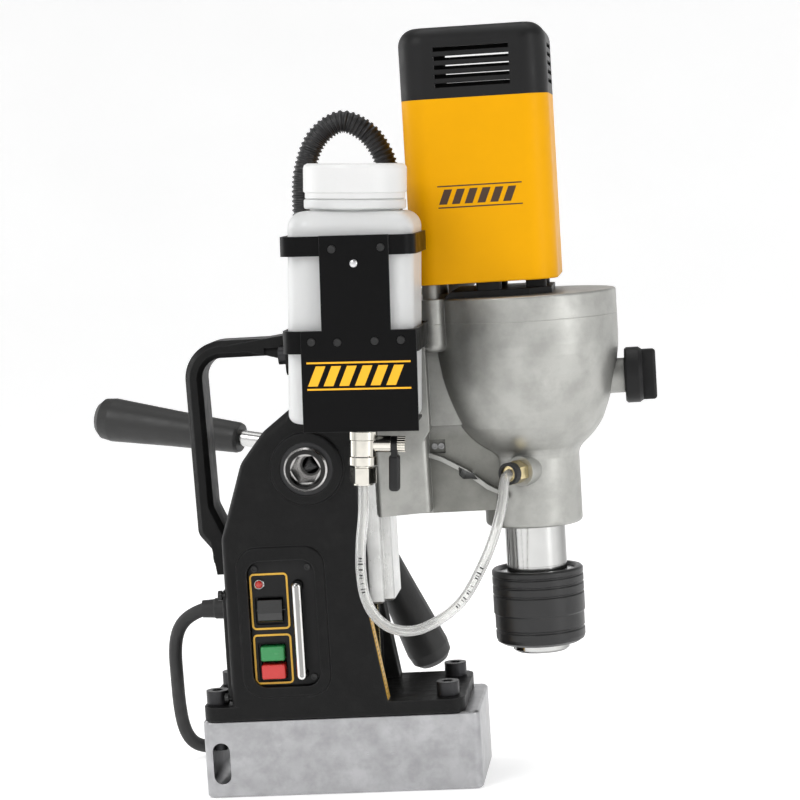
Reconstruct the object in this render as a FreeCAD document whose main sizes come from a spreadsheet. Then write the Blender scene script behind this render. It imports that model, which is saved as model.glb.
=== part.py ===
import FreeCAD, Part
import math
import os
import Sketcher

# Magnetic drill press: electromagnet base, black cast stand, rack fed carriage with a
# two speed gear head, universal motor, quick change arbor chuck and coolant bottle.
# Frame: +Z up, +X (front) towards the spindle, -Y (near side) the control panel side,
# origin at the centre of the magnet's pole face. Millimetres and degrees.

os.makedirs("parts", exist_ok=True)
V = FreeCAD.Vector
X, Y, Z = 0, 1, 2
doc = FreeCAD.newDocument("magnetic_drill_press")
sheet = doc.addObject("Spreadsheet::Sheet", "dims")


# ================================================================ bound numbers
def text_of(value):
    if isinstance(value, Dim):
        return value.expr
    return "(%r)" % float(value) if value < 0 else repr(float(value))


def joined(left, sign, right, value):
    return Dim(value, "(%s %s %s)" % (text_of(left), sign, text_of(right)))


class Dim(float):
    """A number that also remembers its spreadsheet expression."""

    def __new__(cls, value, expr):
        number = float.__new__(cls, value)
        number.expr = expr
        return number

    def __add__(self, other):
        return joined(self, "+", other, float(self) + float(other))

    def __sub__(self, other):
        return joined(self, "-", other, float(self) - float(other))

    def __rsub__(self, other):
        return joined(other, "-", self, float(other) - float(self))

    def __mul__(self, other):
        return joined(self, "*", other, float(self) * float(other))

    def __rmul__(self, other):
        return joined(other, "*", self, float(other) * float(self))

    def __truediv__(self, other):
        return joined(self, "/", other, float(self) / float(other))

    def __neg__(self):
        return Dim(-float(self), "(-%s)" % self.expr)


aliases = []


def dim(alias, value, note):
    """Adds one row to the spreadsheet: alias, value, note."""
    aliases.append(alias)
    row = len(aliases)
    sheet.set("A%d" % row, alias)
    sheet.set("B%d" % row, str(value))
    sheet.set("C%d" % row, note)
    sheet.setAlias("B%d" % row, alias)
    return Dim(value, "dims." + alias)


# ================================================================ driving dimensions
base_len = dim("base_len", 160, "magnet length")
base_wid = dim("base_wid", 80, "magnet width")
base_hgt = dim("base_hgt", 45, "magnet height")
body_wid = dim("body_wid", 84, "stand casting width")
body_top = dim("body_top", 300, "top of the stand")
col_wid = dim("col_wid", 72, "upper column width")
feed_x = dim("feed_x", -9.6, "feed pinion axis")
feed_z = dim("feed_z", 188.8, "feed pinion axis height")
pin_mod = dim("pin_mod", 2, "feed pinion module")
pin_teeth = dim("pin_teeth", 13, "feed pinion teeth")
sp_x = dim("sp_x", 115.5, "spindle axis")
sp_dia = dim("sp_dia", 35, "spindle nose diameter")
mot_x = dim("mot_x", 97, "motor axis")
mot_len = dim("mot_len", 83, "motor housing along X")
mot_wid = dim("mot_wid", 86, "motor housing along Y")
mot_bot = dim("mot_bot", 288.5, "motor housing lower edge")
mot_mid = dim("mot_mid", 392, "split between housing and cap")
mot_top = dim("mot_top", 432, "top of the motor cap")
mot_wall = dim("mot_wall", 3, "motor housing wall")
lay_x = dim("lay_x", 88.51, "layshaft axis")
lay_y = dim("lay_y", 18.1, "layshaft axis")
bell_dia = dim("bell_dia", 108, "gear head outside diameter")
part_z = dim("part_z", 266, "gear head parting line")
cover_top = dim("cover_top", 280, "gear head cover top")
brk_wid = dim("brk_wid", 72, "carriage bracket width")
brk_back = dim("brk_back", 28.5, "carriage bracket back face")
brk_frnt = dim("brk_frnt", 59, "carriage bracket front edge")
brk_bot = dim("brk_bot", 158, "carriage bracket lower edge")
nose_dia = dim("nose_dia", 56, "nose below the gear head")
nose_bot = dim("nose_bot", 146.3, "nose lower edge")
rail_bot = dim("rail_bot", 107, "slide lower end")
rail_len = dim("rail_len", 183, "slide length")
col_dia = dim("col_dia", 53, "chuck collar diameter")
col_top = dim("col_top", 120.3, "chuck collar top")
col_bot = dim("col_bot", 76.7, "chuck collar bottom")
arb_dia = dim("arb_dia", 19.1, "arbor bore, for a 3/4 inch shank")
arb_dep = dim("arb_dep", 50, "arbor bore depth")
chk_bot = dim("chk_bot", 72, "chuck lower face")
hub_dia = dim("hub_dia", 46, "feed hub diameter")
spoke_dia = dim("spoke_dia", 10, "feed spoke diameter")
spoke_ang = dim("spoke_ang", -69, "first spoke, from +X towards +Z")
btl_x = dim("btl_x", 25.6, "bottle centre at the shelf")
brt_x = dim("brt_x", 27.5, "bracket centre at the shelf")
val_x = dim("val_x", 29.4, "valve axis at the shelf")
btl_y = dim("btl_y", -85, "bottle centre")
btl_z = dim("btl_z", 218, "shelf top")
btl_wid = dim("btl_wid", 68.4, "bottle width")
btl_dep = dim("btl_dep", 67, "bottle depth")
btl_hgt = dim("btl_hgt", 115.6, "bottle height to the shoulder")
cap_dia = dim("cap_dia", 56.4, "bottle cap diameter")
btl_tilt = dim("btl_tilt", 3.3, "lean of the bottle")
brt_tilt = dim("brt_tilt", 1.8, "lean of the bottle bracket")
hose_dia = dim("hose_dia", 5.8, "coolant hose outside diameter")
cond_dia = dim("cond_dia", 13, "cable conduit outside diameter")
cord_dia = dim("cord_dia", 8, "power cord diameter")
doc.recompute()

# Turns that lay +Z along the named direction
TURNS = {
    "z": FreeCAD.Rotation(),
    "x": FreeCAD.Rotation(V(0, 1, 0), 90),
    "-x": FreeCAD.Rotation(V(0, 1, 0), -90),
    "y": FreeCAD.Rotation(V(1, 0, 0), -90),
    "-y": FreeCAD.Rotation(V(1, 0, 0), 90),
}
nodes = []


# ================================================================ placing and solids
def vec(point):
    return V(*[float(c) for c in point])


def put(obj, prop, value):
    if isinstance(value, Dim):
        obj.setExpression(prop, value.expr)
    else:
        setattr(obj, prop, value)


def place(obj, at, rot="z"):
    """rot is a key of TURNS, a rotation, or the direction that +Z is turned to."""
    if isinstance(rot, str):
        rot = TURNS[rot]
    elif not isinstance(rot, FreeCAD.Rotation):
        rot = FreeCAD.Rotation(V(0, 0, 1), vec(rot))
    obj.Placement = FreeCAD.Placement(vec(at), rot)
    for axis, value in zip("xyz", at):
        if isinstance(value, Dim):
            obj.setExpression("Placement.Base." + axis, value.expr)
    return obj


def tilted(obj, at, angle):
    """Leans a piece about Y at its own origin, the top towards +X."""
    place(obj, at, FreeCAD.Rotation(V(0, 1, 0), float(angle)))
    obj.setExpression("Placement.Rotation.Angle", angle.expr)
    return obj


def spin(degrees):
    return FreeCAD.Rotation(V(0, 0, 1), degrees)


def around(axis_x, radius, angle, z):
    """Point at an angle (radians) around an upright axis in the plane y = 0."""
    return (float(axis_x) + radius * math.cos(angle), radius * math.sin(angle), z)


def primitive(kind, at, rot, **sizes):
    obj = doc.addObject("Part::" + kind, kind)
    for prop, value in sizes.items():
        put(obj, prop, value)
    return place(obj, at, rot)


def cyl(radius, length, at=(0, 0, 0), rot="z"):
    return primitive("Cylinder", at, rot, Radius=radius, Height=length)


def cone(radius1, radius2, length, at):
    return primitive("Cone", at, "z", Radius1=radius1, Radius2=radius2, Height=length)


def ball(radius, at):
    return primitive("Sphere", at, "z", Radius=radius)


def box(len_x, len_y, len_z, at, rot="z"):
    return primitive("Box", at, rot, Length=len_x, Width=len_y, Height=len_z)


def block(x0, x1, y0, y1, z0, z1):
    """Box between two limits on each axis."""
    return box(x1 - x0, y1 - y0, z1 - z0, (x0, y0, z0))


def hexa(flats, length, at=(0, 0, 0), rot="z"):
    """Hexagonal prism, sized across the flats."""
    radius = flats / 2 / math.cos(math.pi / 6)
    return primitive("Prism", at, rot, Polygon=6, Circumradius=radius, Height=length)


def fuse(*parts):
    obj = doc.addObject("Part::MultiFuse", "fuse")
    obj.Shapes = list(parts)
    obj.Refine = True
    return obj


def cut(base, *tools):
    tool = tools[0]
    if len(tools) > 1:
        tool = doc.addObject("Part::MultiFuse", "tools")
        tool.Shapes = list(tools)
    obj = doc.addObject("Part::Cut", "cut")
    obj.Base, obj.Tool = base, tool
    return obj


def common(first, second):
    obj = doc.addObject("Part::MultiCommon", "common")
    obj.Shapes = [first, second]
    return obj


def group(*parts):
    obj = doc.addObject("Part::Compound", "group")
    obj.Links = list(parts)
    return obj


def feature(name, shape, at=(0, 0, 0)):
    obj = doc.addObject("Part::Feature", name)
    obj.Shape = shape
    return place(obj, at)


def node(name, obj, at=None, rot="z"):
    """Registers one exported piece under its Label."""
    if at is not None:
        place(obj, at, rot)
    obj.Label = name
    nodes.append((name, obj))


# ================================================================ edge picking
def along(edge, axis):
    """True for a straight edge along an axis."""
    if edge.Curve.TypeId != "Part::GeomLine":
        return False
    run = (edge.Vertexes[-1].Point - edge.Vertexes[0].Point).normalize()
    return abs(abs(run[axis]) - 1) < 1e-4


def mid(edge):
    b = edge.BoundBox
    return V((b.XMin + b.XMax) / 2, (b.YMin + b.YMax) / 2, (b.ZMin + b.ZMax) / 2)


def near(value, target, tol=0.1):
    return abs(value - target) < tol


def is_circle(edge, radius):
    return edge.Curve.TypeId == "Part::GeomCircle" and near(edge.Curve.Radius, radius)


def parallel(axis):
    return lambda edge: along(edge, axis)


def line_at(axis, tol, **where):
    """Picks edges along the axis whose middle is near the given x, y or z."""
    return lambda edge: along(edge, axis) and all(
        near(getattr(mid(edge), c), value, tol) for c, value in where.items())


def on_top(level):
    return lambda edge: edge.BoundBox.ZMin > float(level) - 0.01


def rounded(obj, radius, pick):
    """Fillets the edges of any solid that pick() chooses."""
    doc.recompute()
    chosen = [i + 1 for i, edge in enumerate(obj.Shape.Edges) if pick(edge)]
    result = doc.addObject("Part::Fillet", "edge")
    result.Base = obj
    result.Edges = [(i, float(radius), float(radius)) for i in chosen]
    return result


def soften(body, size, pick, kind="Fillet"):
    """Fillets or chamfers the edges of the body's tip that pick() chooses."""
    doc.recompute()
    tip = body.Tip
    names = ["Edge%d" % (i + 1) for i, edge in enumerate(tip.Shape.Edges) if pick(edge)]
    if not names:
        raise RuntimeError("no edges picked on " + body.Name)
    result = body.newObject("PartDesign::" + kind, kind.lower())
    result.Base = (tip, names)
    put(result, "Radius" if kind == "Fillet" else "Size", size)
    doc.recompute()


# ================================================================ sketched bodies
def sketch(body, plane, loops, offset):
    """Closed loops. A loop is ("circle", x, y, r), or a list of (x, y) vertices with
    ("arc", r) between two of them where an arc, bulging to the right, joins them."""
    drawing = body.newObject("Sketcher::SketchObject", "sketch")
    role = plane.upper() + "_Plane"
    support = [f for f in body.Origin.OriginFeatures if f.Role == role][0]
    drawing.AttachmentSupport = (support, [""])
    drawing.MapMode = "FlatFace"
    drawing.AttachmentOffset = FreeCAD.Placement(V(0, 0, float(offset)), FreeCAD.Rotation())
    if isinstance(offset, Dim):
        drawing.setExpression("AttachmentOffset.Base.z", offset.expr)
    rules = []  # (constraint, value), added together at the end

    def rule(*args, value=None):
        rules.append((Sketcher.Constraint(*args), value))

    def pin(geo, pos, x, y):
        for kind, value, axis in (("DistanceX", x, -2), ("DistanceY", y, -1)):
            if abs(float(value)) < 1e-9:
                rule("PointOnObject", geo, pos, axis)
            else:
                rule(kind, -1, 1, geo, pos, float(value), value=value)

    for loop in loops:
        if loop[0] == "circle":
            _, x, y, radius = loop
            circle = Part.Circle(vec((x, y, 0)), V(0, 0, 1), float(radius))
            geo = drawing.addGeometry(circle, False)
            rule("Radius", geo, float(radius), value=radius)
            if abs(float(x)) < 1e-9 and abs(float(y)) < 1e-9:
                rule("Coincident", geo, 3, -1, 1)
            else:
                pin(geo, 3, x, y)
            continue
        corners, arcs = [], {}
        for item in loop:
            if item[0] == "arc":
                arcs[len(corners) - 1] = item[1]
            else:
                corners.append(item)
        drawn = []
        for i, (x, y) in enumerate(corners):
            start = vec((x, y, 0))
            end = vec((*corners[(i + 1) % len(corners)], 0))
            ends = (1, 2)
            if i in arcs:
                radius = arcs[i]
                run = end - start
                chord = run.Length
                rise = float(radius) - math.sqrt(max(float(radius) ** 2 - chord * chord / 4, 0))
                crown = (start + end) * 0.5 - V(-run.y, run.x, 0) / chord * rise
                geo = drawing.addGeometry(Part.Arc(start, crown, end), False)
                if (drawing.Geometry[geo].StartPoint - start).Length >= 1e-6:
                    ends = (2, 1)
                rule("Radius", geo, float(radius), value=radius)
            else:
                geo = drawing.addGeometry(Part.LineSegment(start, end), False)
            drawn.append((geo, ends))
        for i, (x, y) in enumerate(corners):
            last, last_ends = drawn[i - 1]
            geo, ends = drawn[i]
            rule("Coincident", last, last_ends[1], geo, ends[0])
            pin(geo, ends[0], x, y)
    drawing.addConstraint([constraint for constraint, _ in rules])
    for i, (_, value) in enumerate(rules):
        if isinstance(value, Dim):
            drawing.setExpression("Constraints[%d]" % i, value.expr)
    return drawing


def new_body(name):
    return doc.addObject("PartDesign::Body", name + "_body")


def pad(body, plane, loops, length, offset=0.0, sym=False, rev=False, kind="Pad"):
    profile = sketch(body, plane, loops, offset)
    result = body.newObject("PartDesign::" + kind, kind.lower())
    result.Profile = profile
    put(result, "Length", length)
    if sym:
        result.SideType = "Symmetric"
    result.Reversed = rev


def pocket(body, plane, loops, length, offset, rev):
    doc.recompute()
    before = body.Shape.Volume
    pad(body, plane, loops, length, offset, rev=rev, kind="Pocket")
    doc.recompute()
    if not body.Shape.Volume < before - 0.5:
        raise RuntimeError("a pocket cut nothing on " + body.Name)


def slab(name, plane, loops, length, offset=0.0, sym=False):
    """A body made of one pad."""
    body = new_body(name)
    pad(body, plane, loops, length, offset, sym)
    return body


def lathe(name, points, at=(0, 0, 0), rot="z"):
    """A body turned about its own Z axis. points are (radius, height)."""
    body = new_body(name)
    profile = sketch(body, "xz", [points], 0.0)
    turn = body.newObject("PartDesign::Revolution", "turn")
    turn.Profile = profile
    turn.ReferenceAxis = (profile, ["V_Axis"])
    turn.Angle = 360
    return place(body, at, rot)


def ring(name, inner, outer, bottom, top, at=(0, 0, 0), rot="z"):
    """A turned ring of rectangular section, or a disc where inner is 0."""
    points = [(inner, bottom), (outer, bottom), (outer, top), (inner, top)]
    return lathe(name, points, at, rot)


def bearing(inner, outer, height, at):
    """Ball bearing as one closed ring, both faces sunk between the races."""
    race = (outer - inner) * 0.28
    low, high = height * 0.12, height * 0.88
    return lathe("bearing", [
        (inner, 0), (inner + race, 0), (inner + race, low), (outer - race, low),
        (outer - race, 0), (outer, 0), (outer, height), (outer - race, height),
        (outer - race, high), (inner + race, high), (inner + race, height), (inner, height)], at)


def rrect(x0, x1, y0, y1, r):
    """A rounded rectangle loop, counter-clockwise."""
    return [
        (x0 + r, y0), (x1 - r, y0), ("arc", r), (x1, y0 + r), (x1, y1 - r), ("arc", r),
        (x1 - r, y1), (x0 + r, y1), ("arc", r), (x0, y1 - r), (x0, y0 + r), ("arc", r),
    ]


# ================================================================ gears, rods, screws
def gear(module, teeth, addendum, dedendum, backlash, phase, bottom, top, at=(0, 0, 0)):
    """Involute spur gear, one tooth centred on the angle phase (radians). Addendum and
    dedendum are in modules, backlash is taken off the tooth at the pitch circle, mm."""
    pressure = math.radians(20.0)

    def involute(angle):
        return math.tan(angle) - angle

    pitch_r = module * teeth / 2.0
    base_r = pitch_r * math.cos(pressure)
    tip_r, root_r = pitch_r + addendum * module, pitch_r - dedendum * module
    half = (math.pi * module / 2 - backlash) / 2 / pitch_r + involute(pressure)

    def half_at(radius):
        if radius <= base_r:
            return half
        return half - involute(math.acos(base_r / radius))

    flank_r = max(base_r, root_r)
    steps = [root_r] + ([base_r] if base_r > root_r else [])
    steps += [flank_r + (tip_r - flank_r) * k / 5.0 for k in range(1, 6)]
    corners = []
    for i in range(teeth):
        centre = phase + i * 2 * math.pi / teeth
        flanks = [(r, centre - half_at(r)) for r in steps]
        flanks += [(r, centre + half_at(r)) for r in reversed(steps)]
        corners += [V(r * math.cos(a), r * math.sin(a), bottom) for r, a in flanks]
    face = Part.Face(Part.makePolygon(corners + [corners[0]]))
    return feature("gear", face.extrude(V(0, 0, top - bottom)), at)


def rod(name, points, radius):
    """A round solid swept along a smooth curve through the points."""
    curve = Part.BSplineCurve()
    curve.interpolate([vec(p) for p in points])
    start = curve.tangent(curve.FirstParameter)[0]
    sweep = Part.BRepOffsetAPI.MakePipeShell(Part.Wire([curve.toShape()]))
    sweep.setFrenetMode(False)
    sweep.add(Part.Wire([Part.Circle(vec(points[0]), start, float(radius)).toShape()]))
    sweep.build()
    sweep.makeSolid()
    return feature(name, sweep.shape())


def cap_screw(x, y, z, rot, shank, shank_len, head, head_len, flats):
    """Socket head cap screw. The head (radius, length) sits on (x, y, z) and points to
    rot, the shank (radius, length) runs the other way, flats sizes the hexagon socket."""
    seat = vec((x, y, z))
    out = TURNS[rot].multVec(V(0, 0, 1))
    end = seat - out * shank_len
    socket = seat + out * (head_len * 0.45)
    head_part = cyl(head, head_len, tuple(seat), rot)
    shank_part = cyl(shank, shank_len + 0.5, tuple(end), rot)
    return cut(fuse(head_part, shank_part), hexa(flats, head_len, tuple(socket), rot))


# ================================================================ magnet base
coil_x = (-40, 40)
coil_out, coil_in, coil_slot = 28, 17, 12  # radii and depth of the ring slots
coil_gap = 0.05
foot_screws = [(-72, 28), (-72, -28), (62, 28), (62, -28)]  # (x, y)

magnet = slab("magnet", "xy", [
    rrect(-base_len / 2, base_len / 2, -base_wid / 2, base_wid / 2, 5)], base_hgt)
soften(magnet, 1.2, lambda edge: edge.BoundBox.ZLength < 1e-4 and (
    edge.BoundBox.ZMin < 1e-3 or edge.BoundBox.ZMax > base_hgt - 0.1), "Chamfer")
magnet_tools = [cut(cyl(coil_out, coil_slot, (x, 0, 0)), cyl(coil_in, coil_slot, (x, 0, 0)))
                for x in coil_x]
# long hole across the rear end, round at the top and bottom
slot_len, slot_y = base_wid + 2, -base_wid / 2 - 1
magnet_tools += [cyl(5, slot_len, (-70, slot_y, z), "y") for z in (13, 27)]
magnet_tools.append(box(10, slot_len, 14, (-75, slot_y, 13)))
magnet_tools += [cyl(4.05, 20, (x, y, 25.5)) for x, y in foot_screws]
node("magnet_base", cut(magnet, *magnet_tools))
node("magnet_coils", group(*[
    cut(cyl(coil_out - coil_gap, 11.2, (x, 0, 0.7)), cyl(coil_in + coil_gap, 12, (x, 0, 0)))
    for x in coil_x]))

# ================================================================ stand casting
foot_top = base_hgt + 8
way_top = body_top + 2
panel_x0, panel_x1, panel_z0, panel_z1 = -54, -3, 58, 145  # rim round the control panel
gib_z = (118, 160, 210, 262, 290)
rear_screws = [(y, z) for y in (-34.7, 34.7) for z in (57, 117)]
handle_screws = [(-17, 252), (17, 252)]  # (y, z)
handle_foot_z = 136
bracket_screw_x, bracket_screw_z = 5, (246, 286)
panel_screws = [(-13.2, 68.8), (-43.9, 132.3), (-13.2, 132.3)]  # (x, z)
guard_x, guard_z = -19.3, (71, 122)
conduit_x, conduit_y = -5.5, -10

# side outline (x, z)
stand = slab("stand", "xz", [[
    (-79, base_hgt), (72, base_hgt), (72, foot_top), (28.4, foot_top), (20.6, 102),
    (18.3, 175), (18, body_top), (-14, body_top), (-14, 236), (-17.6, 223), (-34, 210.5),
    (-48, 193), (-62, 150), (-62, foot_top), (-79, foot_top)]], body_wid, sym=True)
soften(stand, 16, lambda edge: along(edge, Y) and (
    near(mid(edge).x, -34, 1) or near(mid(edge).x, -48, 1)))
soften(stand, 10, line_at(Y, 1, x=-62, z=150))
soften(stand, 8, line_at(Y, 1, x=-14, z=236))
# upper column narrower than the lower casting; side 1 is the near side (-Y)
for side in (1, -1):
    pocket(stand, "xz", [[(-40, 229), (40, 229), (40, way_top), (-40, way_top)]], 20,
           side * col_wid / 2, rev=side > 0)
# upright edges of the foot, the rear and the column
soften(stand, 9, lambda edge: along(edge, Z) and near(abs(mid(edge).y), 42) and (
    mid(edge).x > 71 or mid(edge).x < -78))
soften(stand, 5, lambda edge: (
    along(edge, Z) and near(abs(mid(edge).y), 42) and near(mid(edge).x, -62)))
soften(stand, 4, lambda edge: (
    along(edge, Z) and near(abs(mid(edge).y), 36) and mid(edge).z > 230))
# round bosses of the feed shaft, both sides
for side in (1, -1):
    pad(stand, "xz", [("circle", feed_x, feed_z, 21)], 4, side * (body_wid / 2 - 1),
        rev=side < 0)
soften(stand, 1.6, lambda edge: near(abs(mid(edge).y), 45, 0.05) and is_circle(edge, 21))
# raised rim and recess for the control panel, near side
pad(stand, "xz", [rrect(panel_x0, panel_x1, panel_z0, panel_z1, 12)], 2.6, body_wid / 2 - 1)
soften(stand, 1.4, lambda edge: (
    near(mid(edge).y, -43.6, 0.05) and mid(edge).x < 0 and mid(edge).z < 150))
pocket(stand, "xz", [rrect(panel_x0 + 6, panel_x1 - 6, panel_z0 + 6, panel_z1 - 8, 8)], 8,
       body_wid / 2 - 4, rev=True)
stand_tools = [
    # bore and pocket of the feed pinion
    cyl(15.2, 96, (feed_x, -48, feed_z), "y"), cyl(15.8, 13.4, (feed_x, -6.7, feed_z), "y"),
    # electronics bay open to the rear, windows of the switches, seat of the rear cover
    block(-63, -22, -33, 33, 58, 116), block(-45.4, -26.6, -44, -30, 66, 90.4),
    block(-45.4, -26.6, -44, -30, 99, 116.9), block(-64, -59.5, -37, 37, 54, 120),
    # way for the slide plate, and the rack behind it
    block(19.3, 80, -28.3, 28.3, foot_top, way_top),
    block(1.4, 12, -6.7, 6.7, foot_top, way_top),
    cyl(4.3, 40, (conduit_x, conduit_y, 262)),
    # dovetail way, the far flank set back for the gib
    slab("way", "xy", [[(7.6, -20.29), (19.6, -15.07), (19.6, 18.36), (7.6, 23.58)]], 250,
         foot_top),
]
# screw holes: foot, gib, rear cover, handle, bottle bracket, panel; then the guard bar
stand_tools += [cyl(4.1, 30, (x, y, 40)) for x, y in foot_screws]
stand_tools += [cyl(2.55, 30, (13.6, 18, z), "y") for z in gib_z]
stand_tools += [cyl(1.55, 16, (-70, y, z), "x") for y, z in rear_screws]
stand_tools += [cyl(3.05, 14, (-15, y, z), "x") for y, z in handle_screws]
stand_tools.append(cyl(3.05, 20, (-63, 0, handle_foot_z), "x"))
stand_tools += [cyl(2.55, 16, (bracket_screw_x, -38, z), "y") for z in bracket_screw_z]
stand_tools += [cyl(1.3, 4, (x, -38.5, z), "y") for x, z in panel_screws]
stand_tools += [cyl(2.9, 8, (guard_x, -40, z), "y") for z in guard_z]
node("body_housing", cut(stand, *stand_tools))

# ---------------------------------------------------------------- rear cover
cord_y, cord_z = 24, 100
rear_face = -64.2
rear = slab("rear", "yz", [rrect(-36.6, 36.6, 54.3, 119.7, 5)], 4.6, rear_face)
soften(rear, 1.0, lambda edge: near(mid(edge).x, rear_face, 0.01))
rear_tools = [box(4, 34, 2.2, (-65, -17, 66 + 6 * i)) for i in range(5)]
rear_tools += [cyl(1.55, 8, (-66, y, z), "x") for y, z in rear_screws]
rear_tools.append(cyl(6.1, 8, (-66, cord_y, cord_z), "x"))
node("rear_cover", cut(rear, *rear_tools))

# board with three blocks and two round components on its front
node("control_board", fuse(
    block(-50, -48.4, -29, 29, 62, 112), block(-48.5, -36, -22, -8, 66, 84),
    block(-48.5, -40, 4, 22, 66, 78), block(-48.5, -34, 0, 16, 88, 106),
    cyl(4, 12, (-48.5, -16, 96), "x"), cyl(4, 12, (-48.5, 23, 86), "x")))

# ---------------------------------------------------------------- control panel
panel_loops = [
    rrect(panel_x0 + 6.4, panel_x1 - 6.4, panel_z0 + 6.4, panel_z1 - 8.4, 7.6),
    rrect(-44.6, -27.4, 66.8, 89.6, 1.5), rrect(-44.6, -27.4, 99.8, 116.1, 1.5)]
panel_loops += [("circle", guard_x, z, 3.3) for z in guard_z]
panel_loops += [("circle", x, z, 1.3) for x, z in panel_screws]
node("control_panel", slab("panel", "xz", panel_loops, 1.6, 38))

# bar that guards the switches
node("switch_guard", fuse(
    cyl(2.85, guard_z[1] - guard_z[0], (guard_x, -46.5, guard_z[0])),
    *[ball(2.9, (guard_x, -46.5, z)) for z in guard_z],
    *[cyl(2.85, 8, (guard_x, -38.5, z), "-y") for z in guard_z],
    *[cyl(2.4, 6, (guard_x, -33, z), "-y") for z in guard_z]))

# frames behind the panel for the rocker and the two push buttons
rocker_y, rocker_z = -37, 108
frames = cut(fuse(block(-45, -27, -37.9, -26, 66.4, 90), block(-45, -27, -37.9, -26, 99.4, 115.95)),
             block(-43.2, -28.8, -45, -30, 68.2, 88.2),
             block(-43.2, -28.8, -45, -30, 101.2, 115.1))
node("switch_block", cut(frames, cyl(1.05, 30, (-50, rocker_y, rocker_z), "x")))
rocker = cut(fuse(block(-43, -29, -43.2, -34, 101.6, 114.3),
                  cyl(1, 17.8, (-44.9, rocker_y, rocker_z), "x")),
             box(20, 10, 10, (-46, -53.2, rocker_z), FreeCAD.Rotation(V(1, 0, 0), -12)))
node("magnet_rocker", rounded(
    common(rocker, cyl(7.9, 18.2, (-45.1, rocker_y, rocker_z), "x")), 0.5,
    lambda edge: along(edge, X) and mid(edge).y < -40))
for name, bottom in (("start_button", 79.2), ("stop_button", 68.7)):
    node(name, rounded(block(-42.9, -29.1, -43.6, -34.2, bottom, bottom + 8.5), 1.2,
                       lambda edge: mid(edge).y < -43.5 or along(edge, Y)))

# ---------------------------------------------------------------- carry handle
# side outline (x, z)
handle = slab("handle", "xz", [[
    (-14, 266.5), (-22, 263.4), (-33, 262), (-82, 262), (-80, 150), (-72, 140), (-70, 126),
    (-62, 126), (-62, 148), (-70, 166), (-72, 252), (-33, 252), (-24, 249.5), (-18, 243),
    (-14, 238)]], 28, sym=True)
soften(handle, 22, lambda edge: along(edge, Y) and mid(edge).x < -81 and mid(edge).z > 250)
soften(handle, 12, lambda edge: (
    along(edge, Y) and near(mid(edge).x, -72, 0.5) and mid(edge).z > 250))
soften(handle, 8, lambda edge: along(edge, Y) and (
    (near(mid(edge).x, -80, 0.5) and mid(edge).z < 151)
    or (near(mid(edge).x, -70, 0.5) and near(mid(edge).z, 166, 1))))
soften(handle, 3, lambda edge: (
    near(abs(mid(edge).y), 14, 0.05) and mid(edge).x < -34 and mid(edge).z > 151), "Chamfer")
handle_plate = rounded(block(-20.5, -14, -24, 24, 240.5, 263.5), 6, parallel(X))
node("carry_handle", cut(
    fuse(handle, handle_plate),
    *[cyl(3.05, 30, (-36, y, z), "x") for y, z in handle_screws],
    *[cyl(5.6, 14, (-34, y, z), "x") for y, z in handle_screws],
    cyl(3.05, 30, (-85, 0, handle_foot_z), "x"), cyl(5.6, 14, (-82.4, 0, handle_foot_z), "x")))
node("stand_bolts", group(
    *[cap_screw(x, y, foot_top, "z", 4, 27, 6.5, 8, 6) for x, y in foot_screws],
    *[cap_screw(-20, y, z, "-x", 3, 18, 5.2, 5, 5) for y, z in handle_screws],
    cap_screw(-68.4, 0, handle_foot_z, "-x", 3, 22, 5.2, 5, 5)))

# ---------------------------------------------------------------- power cord
boot = lathe("boot", [
    (4.05, 0), (6.0, 0), (6.0, 5.25), (9, 5.25), (9, 9), (7.6, 10), (7.2, 14), (6.4, 15),
    (6.2, 20), (5.6, 21), (5.2, 28), (4.05, 28)], (-59, cord_y, cord_z), "-x")
plug_y = cord_y + 62
cord = rod("cord", [
    (-60, cord_y, cord_z), (-87, cord_y, cord_z - 0.5), (-100, cord_y + 3, cord_z - 8),
    (-108, cord_y + 12, cord_z - 40), (-110, cord_y + 26, 34), (-104, cord_y + 42, 9),
    (-84, cord_y + 54, 5.0), (-60, cord_y + 60, 4.8), (-38, plug_y, 5.6),
    (-20, plug_y, 9.2)], cord_dia / 2)
plug = fuse(rounded(block(-3, 40, -15, 15, -8.5, 8.5), 5, parallel(X)),
            cyl(6, 14, (-16, 0, 0), "x"), *[cyl(2.2, 19, (39, y, 0), "x") for y in (-9.5, 9.5)])
plug = cut(plug, cyl(4.1, 20, (-18, 0, 0), "x"))
node("power_cord", group(cord, boot, place(plug, (-22, plug_y, 9.3))))

# ================================================================ slide, rack and gib
rack_screw_z = (125, 190, 260)
# plan outline (x, y)
slide = slab("slide", "xy", [[
    (8, -20), (19.5, -15), (19.5, -28), (28.2, -28), (28.2, -18), (33.5, -18), (33.5, 18),
    (28.2, 18), (28.2, 28), (19.5, 28), (19.5, 15), (8, 20)]], rail_len, rail_bot)
soften(slide, 0.8, lambda edge: along(edge, Z) and (
    near(abs(mid(edge).y), 28) or (near(abs(mid(edge).y), 18) and mid(edge).x > 33)), "Chamfer")
soften(slide, 1.2, lambda edge: mid(edge).z < rail_bot + 0.1 and mid(edge).x > 20, "Chamfer")
node("slide_rail", cut(slide, *[cyl(2.55, 10, (7, 0, z), "x") for z in rack_screw_z]))

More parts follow.
